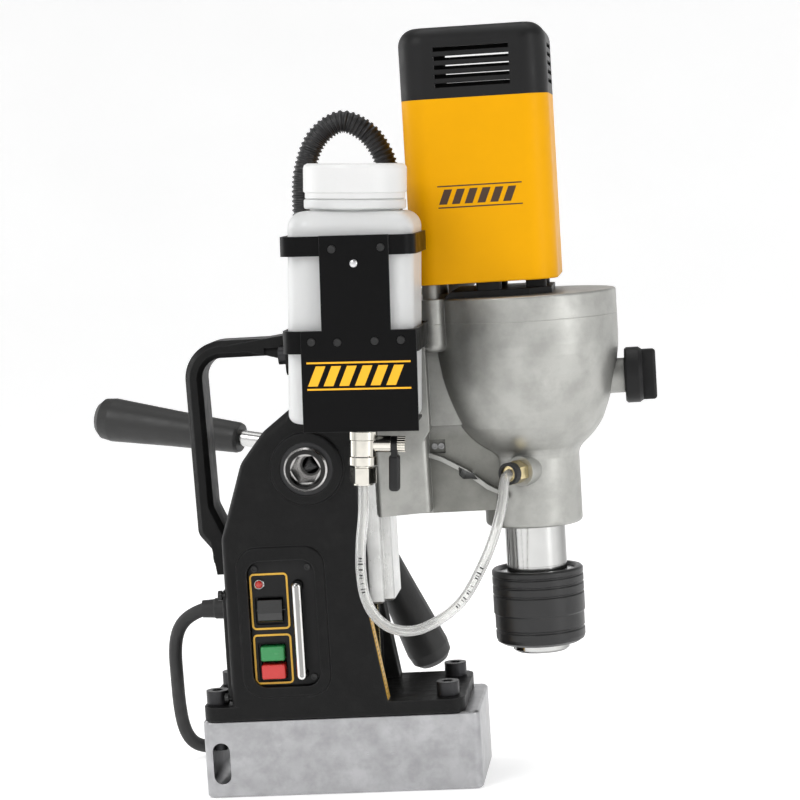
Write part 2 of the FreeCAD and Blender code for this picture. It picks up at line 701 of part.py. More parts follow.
# rack teeth point to -X; tooth 0 is level with the pinion axis
pitch_line = float(feed_x + pin_mod * pin_teeth / 2)
pitch = math.pi * float(pin_mod)
tip_x, root_x, rack_back = pitch_line - 1.4, pitch_line + 2.5, 7.95
first_tooth, last_tooth = -12, 15
thick = pitch / 2 - 0.12
slant = math.tan(math.radians(20))
half_root = thick / 2 + (root_x - pitch_line) * slant
half_tip = thick / 2 - (pitch_line - tip_x) * slant
rack_low = float(feed_z) + (first_tooth - 0.5) * pitch
rack_high = float(feed_z) + (last_tooth + 0.5) * pitch
rack_points = [(rack_back, rack_low), (root_x, rack_low)]
for k in range(first_tooth, last_tooth + 1):
    tooth_z = float(feed_z) + k * pitch
    rack_points += [(root_x, tooth_z - half_root), (tip_x, tooth_z - half_tip),
                    (tip_x, tooth_z + half_tip), (root_x, tooth_z + half_root)]
rack_points += [(root_x, rack_high), (rack_back, rack_high)]
node("rack", cut(slab("rack", "xz", [rack_points], 12, sym=True),
                 *[cyl(2.55, 10, (0, 0, z), "x") for z in rack_screw_z],
                 *[cyl(4.3, 4.96, (1.9, 0, z), "x") for z in rack_screw_z]))
rack_screws = [
    cut(fuse(cyl(4.1, 1.15, (5.7, 0, z), "x"), cyl(2.5, 9.3, (6.8, 0, z), "x")),
        hexa(3, 1.3, (5.65, 0, z), "x")) for z in rack_screw_z]


def flank_y(x):
    """Far flank of the slide's dovetail."""
    return 20 - (x - 8) * 5 / 11.5


gib_near, gib_far = 0.066, 3.2  # offsets of the gib's faces from the flank
node("gib_strip", slab("gib", "xy", [[
    (8.4, flank_y(8.4) + gib_near), (19.2, flank_y(19.2) + gib_near),
    (19.2, flank_y(19.2) + gib_far), (8.4, flank_y(8.4) + gib_far)]], 236, 60))
gib_screws = []
gib_screw_y = flank_y(13.6) + gib_far + 1.1
for z in gib_z:
    face = 42 if z < 225 else 36  # far side of the lower casting or of the column
    gib_screws.append(cut(
        fuse(cyl(2.5, face + 9 - gib_screw_y, (13.6, gib_screw_y, z), "y"),
             hexa(8, 3.5, (13.6, face + 0.02, z), "y")),
        hexa(2.5, 3, (13.6, face + 6.6, z), "y")))

# ================================================================ feed shaft and handle
# drawn along +Z and laid along +Y, which turns its X to X and its Y to -Z
feed_at = (feed_x, 0, feed_z)
teeth = int(pin_teeth)
pinion = gear(float(pin_mod), teeth, 1.0, 1.25, 0.12, math.pi / teeth, -6.2, 6.2)
sleeve = ring("sleeve", 5, 10.4, -45.1, 44.6)
flange = lathe("flange", [(5, -48), (11.4, -48), (12.5, -46.9), (12.5, -45.1), (5, -45.1)])
shaft = cut(fuse(pinion, sleeve, flange), hexa(15, 24, (0, 0, -48.1)),
            hexa(15, 30, (0, 0, 14.7)), cone(10.2, 8.2, 1.4, (0, 0, -48.1)),
            cyl(5.02, 100, (0, 0, -50)))
node("feed_pinion_shaft", shaft, feed_at, "y")
node("feed_bushes", group(*[
    ring("bush", 10.46, 15.16, 0, 22, (feed_x, y, feed_z), "y") for y in (-44, 22)]))

slope = 34.0 / 130.0  # rise of the spokes away from the hub
spoke_angles = [-math.radians(float(spoke_ang) + 120 * i) for i in range(3)]


def spoke_point(angle, radius):
    """Point on a spoke's axis at a distance from the hub axis, in the hub's own axes."""
    return (radius * math.cos(angle), radius * math.sin(angle), 56 + (radius - 18) * slope)


def spoke_dir(angle):
    level, rise = 1 / math.hypot(1, slope), slope / math.hypot(1, slope)
    return (level * math.cos(angle), level * math.sin(angle), rise)


hub = lathe("hub", [(0, 45.4), (20, 45.4), (22.4, 47), (hub_dia / 2, 49), (hub_dia / 2, 61),
                    (21, 66), (14, 68.5), (0, 68.5)])
hub = cut(fuse(hub, hexa(14.8, 24, (0, 0, 21.6))),
          *[cyl(spoke_dia / 2 + 0.02, 40, spoke_point(a, 13), spoke_dir(a))
            for a in spoke_angles],
          cyl(5.05, 12, (0, 0, 58)), cyl(3.05, 60, (0, 0, 10)))
node("feed_hub", hub, feed_at, "y")
hub_screw = cut(fuse(cyl(3, 40, (0, 0, 24)), cyl(5, 7, (0, 0, 59.0))), hexa(5, 4, (0, 0, 62.2)))
node("hub_screw", hub_screw, feed_at, "y")
node("feed_spokes", group(*[
    cyl(spoke_dia / 2, 86, spoke_point(a, 13.6), spoke_dir(a)) for a in spoke_angles]),
    feed_at, "y")
grip_profile = [
    (5.03, 0), (8.6, 0), (9.4, 2), (9.8, 12), (11.2, 45), (12.9, 76), (13.5, 86),
    (12.6, 92.5), (9.5, 96), (0, 97), (0, 46), (5.03, 46)]
node("feed_grips", group(*[
    lathe("grip", grip_profile, spoke_point(a, 55), spoke_dir(a)) for a in spoke_angles]),
    feed_at, "y")

# ================================================================ gear head casting
spindle_at = (sp_x, 0, 0)
bell = lathe("gearcase_bell", [
    (0, nose_bot), (nose_dia / 2 - 2.5, nose_bot), ("arc", 2.5),
    (nose_dia / 2, nose_bot + 2.5), (nose_dia / 2, 185.6), (28.4, 187.6), (29.3, 189.4),
    (30.7, 191.2), (32.5, 192.8), ("arc", 46), (43, 205.5), ("arc", 160), (52, 235),
    (53.6, 246), (bell_dia / 2, 252), (bell_dia / 2, part_z), (0, part_z)], spindle_at)
# carriage bracket behind the bell
bracket = slab("bracket", "xz", [[
    (brk_back, brk_bot), (brk_frnt, brk_bot + 1.6), (brk_frnt, 203), (61, 206),
    (61, part_z), (brk_back, part_z)]], brk_wid, sym=True)
soften(bracket, 3, line_at(Z, 0.2, x=59))
soften(bracket, 4, line_at(Z, 0.2, x=28.5))
# web between the bracket and the nose, its wider slanting rib and its opening
web = slab("web", "xz", [[(50, 157.4), (95, 157.4), (100, 190), (84, 212), (50, 212)]],
           44, sym=True)
rib = slab("rib", "xz", [[
    (58, 193), (66, 190), (80, 182), (92, 172.5), (103, 166.5), (103, 164.5), (91, 170),
    (79, 179.6), (65, 187.6), (58, 190.2)]], 54, sym=True)
window = slab("window", "xz", [[
    (75.5, 183.8), (83.5, 179.4), (86.2, 176.2), (77.2, 176.2), (75.2, 178.4)]], 80, sym=True)
# axis of the coolant fitting, outwards to the rear on the near side
fit_dir = V(-0.5, -0.866, 0)
fit_seat = V(109.5, -33, 180)


def fit_point(distance):
    return tuple(fit_seat + fit_dir * distance)


def fit_cyl(radius, length, distance):
    return cyl(radius, length, fit_point(distance), tuple(fit_dir))


fit_boss = fit_cyl(8.75, 24, -26)
sel_z = 229  # selector axis height
lug_spots = [(66, -30), (66, 30)]
sel_boss = cyl(10, 17, (155, 0, sel_z), "x")
lugs = [rounded(cyl(8, 16, (x, y, 250)), 5, lambda edge: edge.BoundBox.ZMax < 250.01)
        for x, y in lug_spots]
shell = fuse(bell, bracket, web, rib, fit_boss, sel_boss,
             block(58, 84, -24, 24, 207.5, part_z), *lugs)
cavity = lathe("cavity", [
    (0, nose_bot - 1), (17.8, nose_bot - 1), (17.8, 150), (22, 150), (22, 172), (19, 172),
    (19, 176), (23.55, 176), (23.55, 203.5), (26.6, 203.5), (26.6, 210), (40.5, 210),
    (44.5, 219), (48, 235), (50.4, 250), (50.4, part_z + 1), (0, part_z + 1)], spindle_at)
ear_screws = [(36, -30), (36, 30), (66, -31), (66, 31)]  # (x, y)
web_screw_x, web_screw_z = (62, 65.8), 195.5
node("gearcase", cut(
    shell, cavity, window,
    block(20, 33.8, -18.3, 18.3, 150, 290),  # way for the slide's rib
    block(37.1, 57, -26, 26, 214, 262), block(56.9, 70, -18, 18, 214, 262),  # bracket hollow
    cyl(5.02, 8, (lay_x, lay_y, 203)),
    cyl(4.06, 20, (153, 0, sel_z), "x"), cyl(8.2, 4.2, (153.4, 0, sel_z), "x"),
    fit_cyl(4.1, 8, -7.5), fit_cyl(1.6, 24, -24),
    block(58.5, 68, -24, -19.5, 191.6, 199.4),
    *[cyl(2.05, 20, (x, y, 250)) for x, y in ear_screws],
    *[cyl(1.3, 8, (x, -20, web_screw_z), "y") for x in web_screw_x]))

# ---------------------------------------------------------------- cover of the gear head
cover = slab("cover", "xy", [("circle", sp_x, 0, bell_dia / 2)], cover_top - part_z, part_z)
soften(cover, 1.4, on_top(cover_top))
cover_box = rounded(block(brk_back, 61, -brk_wid / 2, brk_wid / 2, part_z, cover_top), 4,
                    lambda edge: along(edge, Z) and mid(edge).x < 30)
cover_box = rounded(cover_box, 1.4,
                    lambda edge: on_top(cover_top)(edge) and mid(edge).x < 60.9)
posts = [cyl(5, 8.5, (x, y, 279.9)) for x, y in lug_spots]
posts += [cyl(8, 14, (x, y, 266)) for x, y in lug_spots]
node("gearcase_cover", cut(
    fuse(cover, cover_box, *posts), block(20, 33.8, -18.3, 18.3, 260, 290),
    cyl(9.55, 9, (mot_x, 0, part_z - 0.5)), cyl(5.2, 30, (mot_x, 0, 260)),
    cyl(7.02, 10.5, (sp_x, 0, part_z - 0.5)), cyl(6.02, 8.5, (lay_x, lay_y, part_z - 0.5)),
    *[cyl(2.05, 30, (x, y, 260)) for x, y in ear_screws],
    *[cyl(4.1, 6, (x, y, 275.5)) for x, y in ear_screws[:2]]))
node("carriage_screws", group(
    *rack_screws,
    *[cap_screw(x, -19.5, web_screw_z, "-y", 1.25, 6.5, 1.8, 1.5, 1.6) for x in web_screw_x],
    *[cap_screw(x, y, 275.5, "z", 2, 24, 3.9, 4, 3) for x, y in ear_screws[:2]]))

# ================================================================ spindle line
spindle_bush = ring("spindle_bush", 17.55, 21.95, 150.05, 171.9, spindle_at)
spindle_bearings = [bearing(12.52, 23.5, 13, (sp_x, 0, 176.2)),
                    bearing(5.03, 6.98, 9, (sp_x, 0, 266.4))]
node("spindle", lathe("spindle", [
    (0, 122.5), (sp_dia / 2, 122.5), (sp_dia / 2, 173), (12.5, 173), (12.5, 190), (10, 190),
    (10, 258), (5, 258), (5, 275), (0, 275)], spindle_at))

lock_angles = [math.radians(a) for a in (90, 210, 330)]
chuck = lathe("chuck", [
    (0, chk_bot), (15.2, chk_bot), (16.4, chk_bot + 1.2), (16.4, 110.5), (17.5, 110.5),
    (17.5, 122.4), (0, 122.4)], spindle_at)
node("arbor_chuck", cut(
    chuck, cyl(arb_dia / 2, arb_dep, (sp_x, 0, chk_bot)),
    cone(arb_dia / 2 + 1.2, arb_dia / 2, 1.2, (sp_x, 0, chk_bot)),
    *[cyl(3.03, 8, around(sp_x, 9, a, 88), (math.cos(a), math.sin(a), 0))
      for a in lock_angles]))
lock_balls = [ball(3, around(sp_x, 13.0, a, 88)) for a in lock_angles]
col_rad = col_dia / 2
node("chuck_collar", lathe("collar", [
    (16.5, col_bot), (22.5, col_bot), (25.2, 78.4), (25.9, 80.5), (25.9, 84.2), (25.2, 84.8),
    (25.2, 85.6), (25.9, 86.2), (25.9, 94.0), (col_rad, 94.9), (col_rad, 104.9),
    (25.8, 105.3), (25.8, 106.1), (col_rad, 106.5), (col_rad, 110.4), (25.8, 110.8),
    (25.8, 111.6), (col_rad, 112), (col_rad, 115.4), (25.8, 115.8), (25.8, 116.5),
    (col_rad, 117), (col_rad, 119.3), (25.5, col_top), (23.0, col_top), (22, 119),
    (22, 106), (17.6, 106), (17.6, 103.9), (16.5, 103.9)], spindle_at))
node("chuck_lock", group(ring("retainer", 17.52, 21.7, 117.2, 118.6, spindle_at), *lock_balls))
node("collar_spring", rod("spring", [
    around(sp_x, 19.8, 2 * math.pi * k / 16, 107.1 + 9.0 * k / 46) for k in range(47)], 0.8))

# ================================================================ gear train
fast_mod, slow_mod = 1.0, 1.25
# directions in plan from the motor to the layshaft, and from there to the spindle
to_lay = math.atan2(float(lay_y), float(lay_x) - float(mot_x))
to_spindle = math.atan2(-float(lay_y), float(sp_x) - float(lay_x))
motor_pinion = gear(fast_mod, 8, 1.1, 1.2, 0.10, to_lay, 251.6, 262.4, (mot_x, 0, 0))
gear_32 = gear(fast_mod, 32, 0.5, 1.35, 0.10, to_lay + math.pi + math.pi / 32, 252, 262)
gear_12 = gear(slow_mod, 12, 0.95, 1.2, 0.12, to_spindle, 216, 221)
gear_16 = gear(slow_mod, 16, 0.9, 1.2, 0.12, to_spindle, 222, 227)
lay_core = lathe("layshaft", [
    (0, 203.4), (3.5, 203.4), (3.5, 210.4), (5.2, 211), (5.2, 216.5), (6.2, 221), (6.2, 222),
    (7, 226.5), (7, 251), (4, 263), (4, 273), (0, 273)])
node("layshaft", fuse(gear_32, gear_12, gear_16, lay_core, ring("laydisc", 0, 9, 249, 253)),
     (lay_x, lay_y, 0))
lay_bushes = [ring("lay_bush", 3.55, 4.97, 203.1, 210.3, (lay_x, lay_y, 0)),
              ring("lay_bush", 4.05, 5.97, 266.2, 273.4, (lay_x, lay_y, 0))]
gear_40 = gear(slow_mod, 40, 0.72, 1.2, 0.12, to_spindle + math.pi + math.pi / 40, 216.2, 221)
gear_36 = gear(slow_mod, 36, 0.9, 1.2, 0.12, to_spindle + math.pi + math.pi / 36, 233, 238)
cluster_core = lathe("cluster", [
    (0, 216.2), (18, 216.2), (18, 221), (15, 221), (15, 224.5), (12.8, 224.5), (12.8, 230.5),
    (15, 230.5), (15, 233), (18, 233), (18, 238), (0, 238)])
node("gear_cluster", cut(fuse(gear_40, gear_36, cluster_core), cyl(10.05, 40, (0, 0, 210))),
     spindle_at)

fork_plate = cut(block(114, 152, -17, 17, 225, 230), cyl(13.1, 20, (sp_x, 0, 220)),
                 block(110, sp_x, -13.1, 13.1, 220, 235))
fork_tab = cut(block(149.6, 153.2, -9, 9, 222, 236), block(148, 155, -7.3, -3.0, 230.05, 233.45))
node("shift_fork", fuse(fork_plate, fork_tab))
pin_angle, pin_throw = math.radians(150), 5.5
pin_at = (149.7, pin_throw * math.cos(pin_angle), sel_z + pin_throw * math.sin(pin_angle))
node("selector_shaft", fuse(cyl(4, 20, (154.5, 0, sel_z), "x"),
                            cyl(8, 2.6, (153.9, 0, sel_z), "x"), cyl(1.5, 5, pin_at, "x")))
knob = lathe("knob", [(0, 2), (4.2, 2), (4.2, 0), (15, 0), (16, 1.2), (16, 8), (14.6, 10),
                      (0, 10)], (172.2, 0, sel_z), "x")
knob_bar = rounded(block(180, 190, -3.4, 3.4, sel_z - 14.5, sel_z + 14.5), 2,
                   lambda edge: mid(edge).x > 189 or along(edge, X))
node("selector_knob", cut(fuse(knob, knob_bar), cyl(4.02, 6, (170, 0, sel_z), "x")))

# ================================================================ motor
motor_flange = slab("flange", "xy", [[
    (74, -36), (122, -36), (134, -24), (134, 24), (122, 36), (74, 36)]], 3.6, 280.05)
soften(motor_flange, 3.2, lambda edge: (
    along(edge, Y) and mid(edge).z > 283 and mid(edge).x < 75), "Chamfer")
# (x0, x1, y0, y1) of the four posts on the flange
post_spots = [(92, 106, -35, -25), (92, 106, 25, 35), (119.5, 131, -26, -18),
              (119.5, 131, 18, 26)]
flange_posts = [rounded(block(*spot, 283.5, 288.45), 1.5, parallel(Z)) for spot in post_spots]
node("motor_flange", cut(fuse(motor_flange, *flange_posts), cyl(7, 12, (mot_x, 0, 279))))

motor_rear, motor_front = mot_x - mot_len / 2, mot_x + mot_len / 2
motor_half, motor_corner = mot_wid / 2, 15
motor_outer = rrect(motor_rear, motor_front, -motor_half, motor_half, motor_corner)
motor_inner = rrect(motor_rear + mot_wall, motor_front - mot_wall, -motor_half + mot_wall,
                    motor_half - mot_wall, motor_corner - mot_wall)
housing = slab("housing", "xy", [motor_outer], mot_mid - mot_bot, mot_bot)
pocket(housing, "xy", [motor_inner], 200, mot_bot + mot_wall, rev=True)
soften(housing, 1.0, lambda edge: (
    near(edge.BoundBox.ZMax, mot_bot, 0.01) and near(mid(edge).z, mot_bot, 0.01)))
node("motor_housing", cut(housing, cyl(7, 10, (mot_x, 0, mot_bot - 1)),
                          cyl(6.52, 13, (50, -8, 316), "x")))

top_cap = slab("topcap", "xy", [motor_outer], mot_top - mot_mid - 0.02, mot_mid + 0.02)
soften(top_cap, 10, on_top(mot_top))
pocket(top_cap, "xy", [motor_inner], 34, mot_mid, rev=True)
vents = []
for k in range(5):
    z = 398 + 5 * k
    vents += [block(76, 118, -50, 50, z, z + 2.4), block(40, 150, -22, 22, z, z + 2.4)]
node("motor_top_cap", cut(top_cap, *vents))

stator = rounded(block(61.4, 132.6, -36.4, 36.4, 306, 352), 12, parallel(Z))
node("stator_core", cut(stator, cyl(24, 60, (mot_x, 0, 300)), *[
    cyl(5, 60, around(mot_x, 27, k * math.pi / 4, 300)) for k in (1, 3, 5, 7)]))


def coil_ring(z):
    coil = cut(cyl(34, 6.5, (mot_x, 0, z)), cyl(25, 8, (mot_x, 0, z - 0.5)))
    return rounded(coil, 2, lambda edge: edge.BoundBox.ZLength < 0.01)


node("field_coils", group(coil_ring(299.3), coil_ring(352.2)))
rotor = lathe("armature", [
    (0, 262.5), (4, 262.5), (4, 299.8), (8, 299.8), (17, 301), (19, 305.8), (22.6, 306),
    (22.6, 352), (19, 352.2), (17, 358), (8, 360), (8, 362), (4, 362), (4, 386), (0, 386)],
    (mot_x, 0, 0))
rotor = cut(rotor, *[
    cyl(1.6, 60, around(mot_x, 22, k * math.pi / 6, 300)) for k in range(12)])
commutator = lathe("commutator", [
    (4.0, 363), (12.5, 363), (12.5, 365), (11, 365.4), (11, 377), (4.0, 377)], (mot_x, 0, 0))
commutator = cut(commutator, *[
    box(3, 0.5, 20, around(mot_x, 9.6, k * math.pi / 6, 362), spin(30 * k))
    for k in range(12)])
node("armature", group(rotor, commutator, motor_pinion))
node("cooling_fan", fuse(
    cut(cyl(9, 7, (mot_x, 0, 292.2)), cyl(4, 10, (mot_x, 0, 291))),
    cut(cyl(33, 1.2, (mot_x, 0, 292.2)), cyl(4, 10, (mot_x, 0, 291))),
    *[box(23, 1.2, 6, around(mot_x, 8.5, k * math.pi / 6, 292.8), spin(30 * k))
      for k in range(12)]))
node("bearings", group(
    bearing(4.02, 9.5, 7, (mot_x, 0, 266.8)), bearing(4.02, 11, 7, (mot_x, 0, 378.4)),
    spindle_bush, *spindle_bearings, *lay_bushes))

bridge_rear, bridge_front = motor_rear + 3.2, motor_front - 3.2
bridge = cut(
    fuse(block(bridge_rear, bridge_front, -14, 14, 386.2, 389), cyl(14, 11, (mot_x, 0, 378.2)),
         block(bridge_rear, motor_rear + 7, -14, 14, 372, 389),
         block(motor_front - 7, bridge_front, -14, 14, 372, 389)),
    cyl(11.05, 7.6, (mot_x, 0, 378)), cyl(5, 20, (mot_x, 0, 376)))
holders = [
    cut(block(mot_x + x0, mot_x + x1, -6, 6, 366, 376),
        block(mot_x + x0 - 1, mot_x + x1 + 1, -4.1, 4.1, 368, 374))
    for x0, x1 in ((14, 34.5), (-34.5, -14))]
node("brush_bridge", group(bridge, *holders))
node("carbon_brushes", group(*[
    block(mot_x + x0, mot_x + x1, -4, 4, 368.1, 373.9)
    for x0, x1 in ((11.1, 27), (-27, -11.1))]))

# ================================================================ coolant fitting
node("hose_fitting", cut(
    fuse(hexa(11.5, 8, fit_point(-1.95), tuple(fit_dir)), fit_cyl(4.05, 6, -6.5),
         fit_cyl(4.6, 4, 5)), fit_cyl(2, 40, -20)))
node("fitting_ring", cut(fit_cyl(6.3, 4.5, 6.1), fit_cyl(4.65, 10, 5)))

# ================================================================ bottle and its bracket
# drawn upright with the origin on the shelf, then leaned
bottle_at = (btl_x, btl_y, btl_z)
outlet_x = 3.8
half_wid, half_dep = btl_wid / 2, btl_dep / 2
wall, corner, shoulder = 1.6, 13, 9
bottle = slab("bottle", "xy", [rrect(-half_wid, half_wid, -half_dep, half_dep, corner)],
              btl_hgt - 1.2, 1.2)
soften(bottle, shoulder, on_top(btl_hgt))
soften(bottle, 5, lambda edge: edge.BoundBox.ZMax < 1.3)
pad(bottle, "xy", [("circle", 0, 0, 24.6)], 17, btl_hgt - 1)
bottle = fuse(bottle, cyl(27.9, 5.4, (0, 0, 116.6)), cyl(5.5, 11.2, (outlet_x, 0, -6.6)))
inside = slab("bottle_in", "xy", [
    rrect(-half_wid + wall, half_wid - wall, -half_dep + wall, half_dep - wall,
          corner - wall)], btl_hgt - 4.6, 3)
soften(inside, shoulder - wall, on_top(btl_hgt - wall))
bottle = rounded(bottle, 1.2, lambda edge: is_circle(edge, 27.9) and edge.Length > 20)
bottle = cut(bottle, inside, cyl(22.8, 34, (0, 0, 100)), cyl(3, 20, (outlet_x, 0, -8)))
node("coolant_bottle", tilted(bottle, bottle_at, btl_tilt))

cap_rad = cap_dia / 2
node("bottle_cap", tilted(lathe("cap", [
    (0, 141.2), (26.0, 141.2), (cap_rad - 0.5, 140.2), (cap_rad, 138.8), (cap_rad, 126.0),
    (cap_rad - 0.9, 125.2), (cap_rad - 0.9, 122.6), (cap_rad - 1.3, 122.2), (24.9, 122.2),
    (24.9, 139.2), (0, 139.2)]), bottle_at, btl_tilt))

strap_x, strap_y, sheet_t = 36.6, 37.4, 1.5  # half sizes of the straps, their thickness


def strap_ring(z0, z1):
    outer = rounded(block(-strap_x, strap_x, -strap_y, strap_y, z0, z1), 9, parallel(Z))
    inner = rounded(block(-strap_x + sheet_t, strap_x - sheet_t, -strap_y + sheet_t,
                          strap_y - sheet_t, z0 - 1, z1 + 1), 7.5, parallel(Z))
    return cut(outer, inner)


plate_y0, plate_y1 = -strap_y - sheet_t, -strap_y + 0.2
bottle_bracket = fuse(
    strap_ring(92.4, 103), strap_ring(40.4, 52.6),
    block(-14.4, 22.7, plate_y0, plate_y1, 50, 103.2),  # upper plate, near side
    block(-25.8, 36.2, plate_y0, plate_y1, -1.6, 52.6),  # label plate
    block(-25.8, 31, plate_y0, strap_y - 1, -1.6, 0),  # shelf
    block(-33, 6, strap_y - sheet_t, strap_y, -1.6, 103))  # back plate, far side
hole_x = bracket_screw_x - float(brt_x)
bottle_bracket = cut(
    bottle_bracket, cyl(2.1, 5, (3.9, -strap_y - 2.5, 88.2), "y"), cyl(10.5, 5, (1.9, 0, -4)),
    cyl(2.6, 6, (hole_x - 0.87, strap_y - 3, 27.28), "y"),
    cyl(2.6, 6, (hole_x - 2.13, strap_y - 3, 67.26), "y"))
bracket_at = (brt_x, btl_y, btl_z)
node("bottle_bracket", tilted(bottle_bracket, bracket_at, brt_tilt))
# (x, z) in the bracket's frame
rivet_spots = [(-7.6, 96), (18.6, 96.4), (-20, 46.8), (-6, 46.4), (14, 46.8), (28, 47)]
rivets = tilted(group(*[
    rounded(cyl(2.1, 0.8, (x, plate_y0, z), "-y"), 0.35,
            lambda edge: edge.BoundBox.YMax < -strap_y - 2.2) for x, z in rivet_spots]),
    bracket_at, brt_tilt)
# stand-offs and screws that hold the bracket on the column
back_y = float(btl_y) + strap_y
spacers = [
    cut(cyl(5, -36.02 - back_y - 0.05, (bracket_screw_x, back_y + 0.03, z), "y"),
        cyl(2.6, 20, (bracket_screw_x, back_y - 1, z), "y")) for z in bracket_screw_z]
node("stand_screws", group(
    rivets, *spacers,
    *[cap_screw(bracket_screw_x, back_y - 1.53, z, "-y", 2.5, 18.5, 4.4, 1.6, 3)
      for z in bracket_screw_z],
    *[cap_screw(rear_face, y, z, "-x", 1.5, 9, 2.9, 2.2, 2.5) for y, z in rear_screws],
    *[cap_screw(x, -39.6, z, "-y", 1.2, 4, 1.8, 1.2, 2) for x, z in panel_screws],
    *gib_screws))

# ---------------------------------------------------------------- ball valve
# drawn under its own origin; the valve spindle runs along X at stem_z
valve_at = (val_x, btl_y, btl_z - 0.25)
stem_z = -12
valve = lathe("valve", [
    (5.55, -4.2), (7.2, -4.2), (8, -5), (8, -9.4), (7.4, -9.8), (7.4, -18.6), (8, -19),
    (8, -23.4), (7.4, -24), (3.2, -24), (3.2, -17.3), (3.2, -8.4), (5.55, -8.4)])
valve = cut(
    fuse(valve, cyl(4.6, 15.4, (0, 0, stem_z), "x"), hexa(13.5, 6.0, (0, 0, -24))),
    ball(6.03, (0, 0, stem_z)), cyl(2.06, 20, (0, 0, stem_z), "x"),
    cyl(3.2, 16, (0, 0, -25)), cyl(5.55, 5, (0, 0, -8.4)))
node("valve_body", tilted(valve, valve_at, btl_tilt))
valve_ball = cut(fuse(ball(6, (0, 0, stem_z)), cyl(2, 19, (0, 0, stem_z), "x")),
                 cyl(2.8, 20, (0, 0, -22)))
node("valve_ball", tilted(valve_ball, valve_at, btl_tilt))
lever = fuse(cyl(4.4, 3.38, (15.6, 0, stem_z), "x"), block(15.6, 18.98, -3.4, 3.4, -22, stem_z),
             rounded(block(14.2, 20.3, -3.6, 3.6, -38, -17.6), 2.2, lambda edge: True))
lever = cut(lever, cyl(2.01, 8, (14, 0, stem_z), "x"))
grooves = []
for k in range(18):
    angle = k * math.pi / 9
    groove_at = (18.5, 4.5 * math.cos(angle), stem_z + 4.5 * math.sin(angle))
    grooves.append(cyl(0.45, 6, groove_at, "x"))
lever_nut = cut(cyl(4.4, 4.2, (19.02, 0, stem_z), "x"), *grooves)
node("valve_lever", tilted(group(lever, lever_nut), valve_at, btl_tilt))
nut = cut(fuse(hexa(12.8, 8.6, (0, 0, -33.6)), cyl(5.6, 1.2, (0, 0, -34.6)),
               cyl(5.0, 1.75, (0, 0, -25.8))), cyl(2.95, 20, (0, 0, -40)))
nut = cut(nut, cyl(3.6, 2, (0, 0, -25.4)))
node("compression_nut", tilted(nut, valve_at, btl_tilt))

# ---------------------------------------------------------------- coolant hose
# a hanging loop from the valve to the gear head
lean = FreeCAD.Rotation(V(0, 1, 0), float(btl_tilt))
hose_start = vec(valve_at) + lean.multVec(V(0, 0, -34.8))
hose_end = fit_seat + fit_dir * 10.7
node("coolant_hose", rod("hose", [
    tuple(hose_start), (hose_start.x - 1.0, hose_start.y + 0.3, 168), (23.8, -84.0, 150),
    (22.8, -83.0, 135), (24.2, -82.0, 120), (29.0, -80.5, 109.0), (37.5, -78.6, 101.5),
    (49.0, -75.8, 99.2), (62.0, -72.0, 103.2), (76.0, -67.0, 113), (88.0, -61.0, 131),
    (96.5, -55.0, 150), (101.0, -49.5, 166), (102.2, -45.4, 175.4),
    (hose_end.x - 0.8, hose_end.y - 1.6, hose_end.z - 1.2)], hose_dia / 2))

# ---------------------------------------------------------------- cable conduit
# from the top of the stand to the rear of the motor
node("conduit_gland_stand", cut(
    fuse(cyl(8.0, 5, (conduit_x, conduit_y, body_top + 0.02)),
         cyl(4.25, 12, (conduit_x, conduit_y, body_top - 10)),
         hexa(14, 5, (conduit_x, conduit_y, body_top + 5))),
    cyl(2.4, 40, (conduit_x, conduit_y, body_top - 12))))
gland_x, gland_y = motor_rear - 10.5, -8
node("conduit_gland_motor", fuse(
    cyl(9, 4, (motor_rear - 4.02, gland_y, 316), "x"),
    cyl(6.5, 8, (motor_rear - 4.0, gland_y, 316), "x"),
    rounded(block(motor_rear - 17, motor_rear - 4, -16, 0, 308, 324), 4, parallel(X)),
    cyl(7.6, 6, (gland_x, gland_y, 324))))
node("cable_conduit", rod("conduit", [
    (conduit_x, conduit_y, 310.7), (-6.4, -10, 335), (-4.2, -10, 357), (4.5, -9.8, 375.5),
    (18.5, -9.4, 383.5), (31.5, -9.0, 377.6), (40.2, -8.6, 365.4), (44.2, -8.2, 350),
    (gland_x, gland_y, 330.6)], cond_dia / 2))

# ================================================================ check and write
doc.recompute()
bad = [obj.Name for obj in doc.Objects if "Invalid" in obj.State or "Error" in obj.State]
if bad:
    raise RuntimeError("failed objects: " + ", ".join(bad))
for name, obj in nodes:
    if obj.Shape.isNull() or not obj.Shape.isValid() or not obj.Shape.Solids:
        raise RuntimeError("no valid solid for " + name)
for name, obj in nodes:
    obj.Shape.exportStep("parts/%s.step" % name)
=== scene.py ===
# A magnetic-base drill: a stand with magnet, bottle and switch panel, and a carriage
# with motor, gearcase and chuck that slides up and down on it.
# The base stands on z = 0, z is up, the camera looks from -Y, and +X is to its right.
# Lengths are in mm (times MM where Blender needs metres) unless a comment says metres.
import bpy
import bmesh
import math
from mathutils import Matrix, Vector

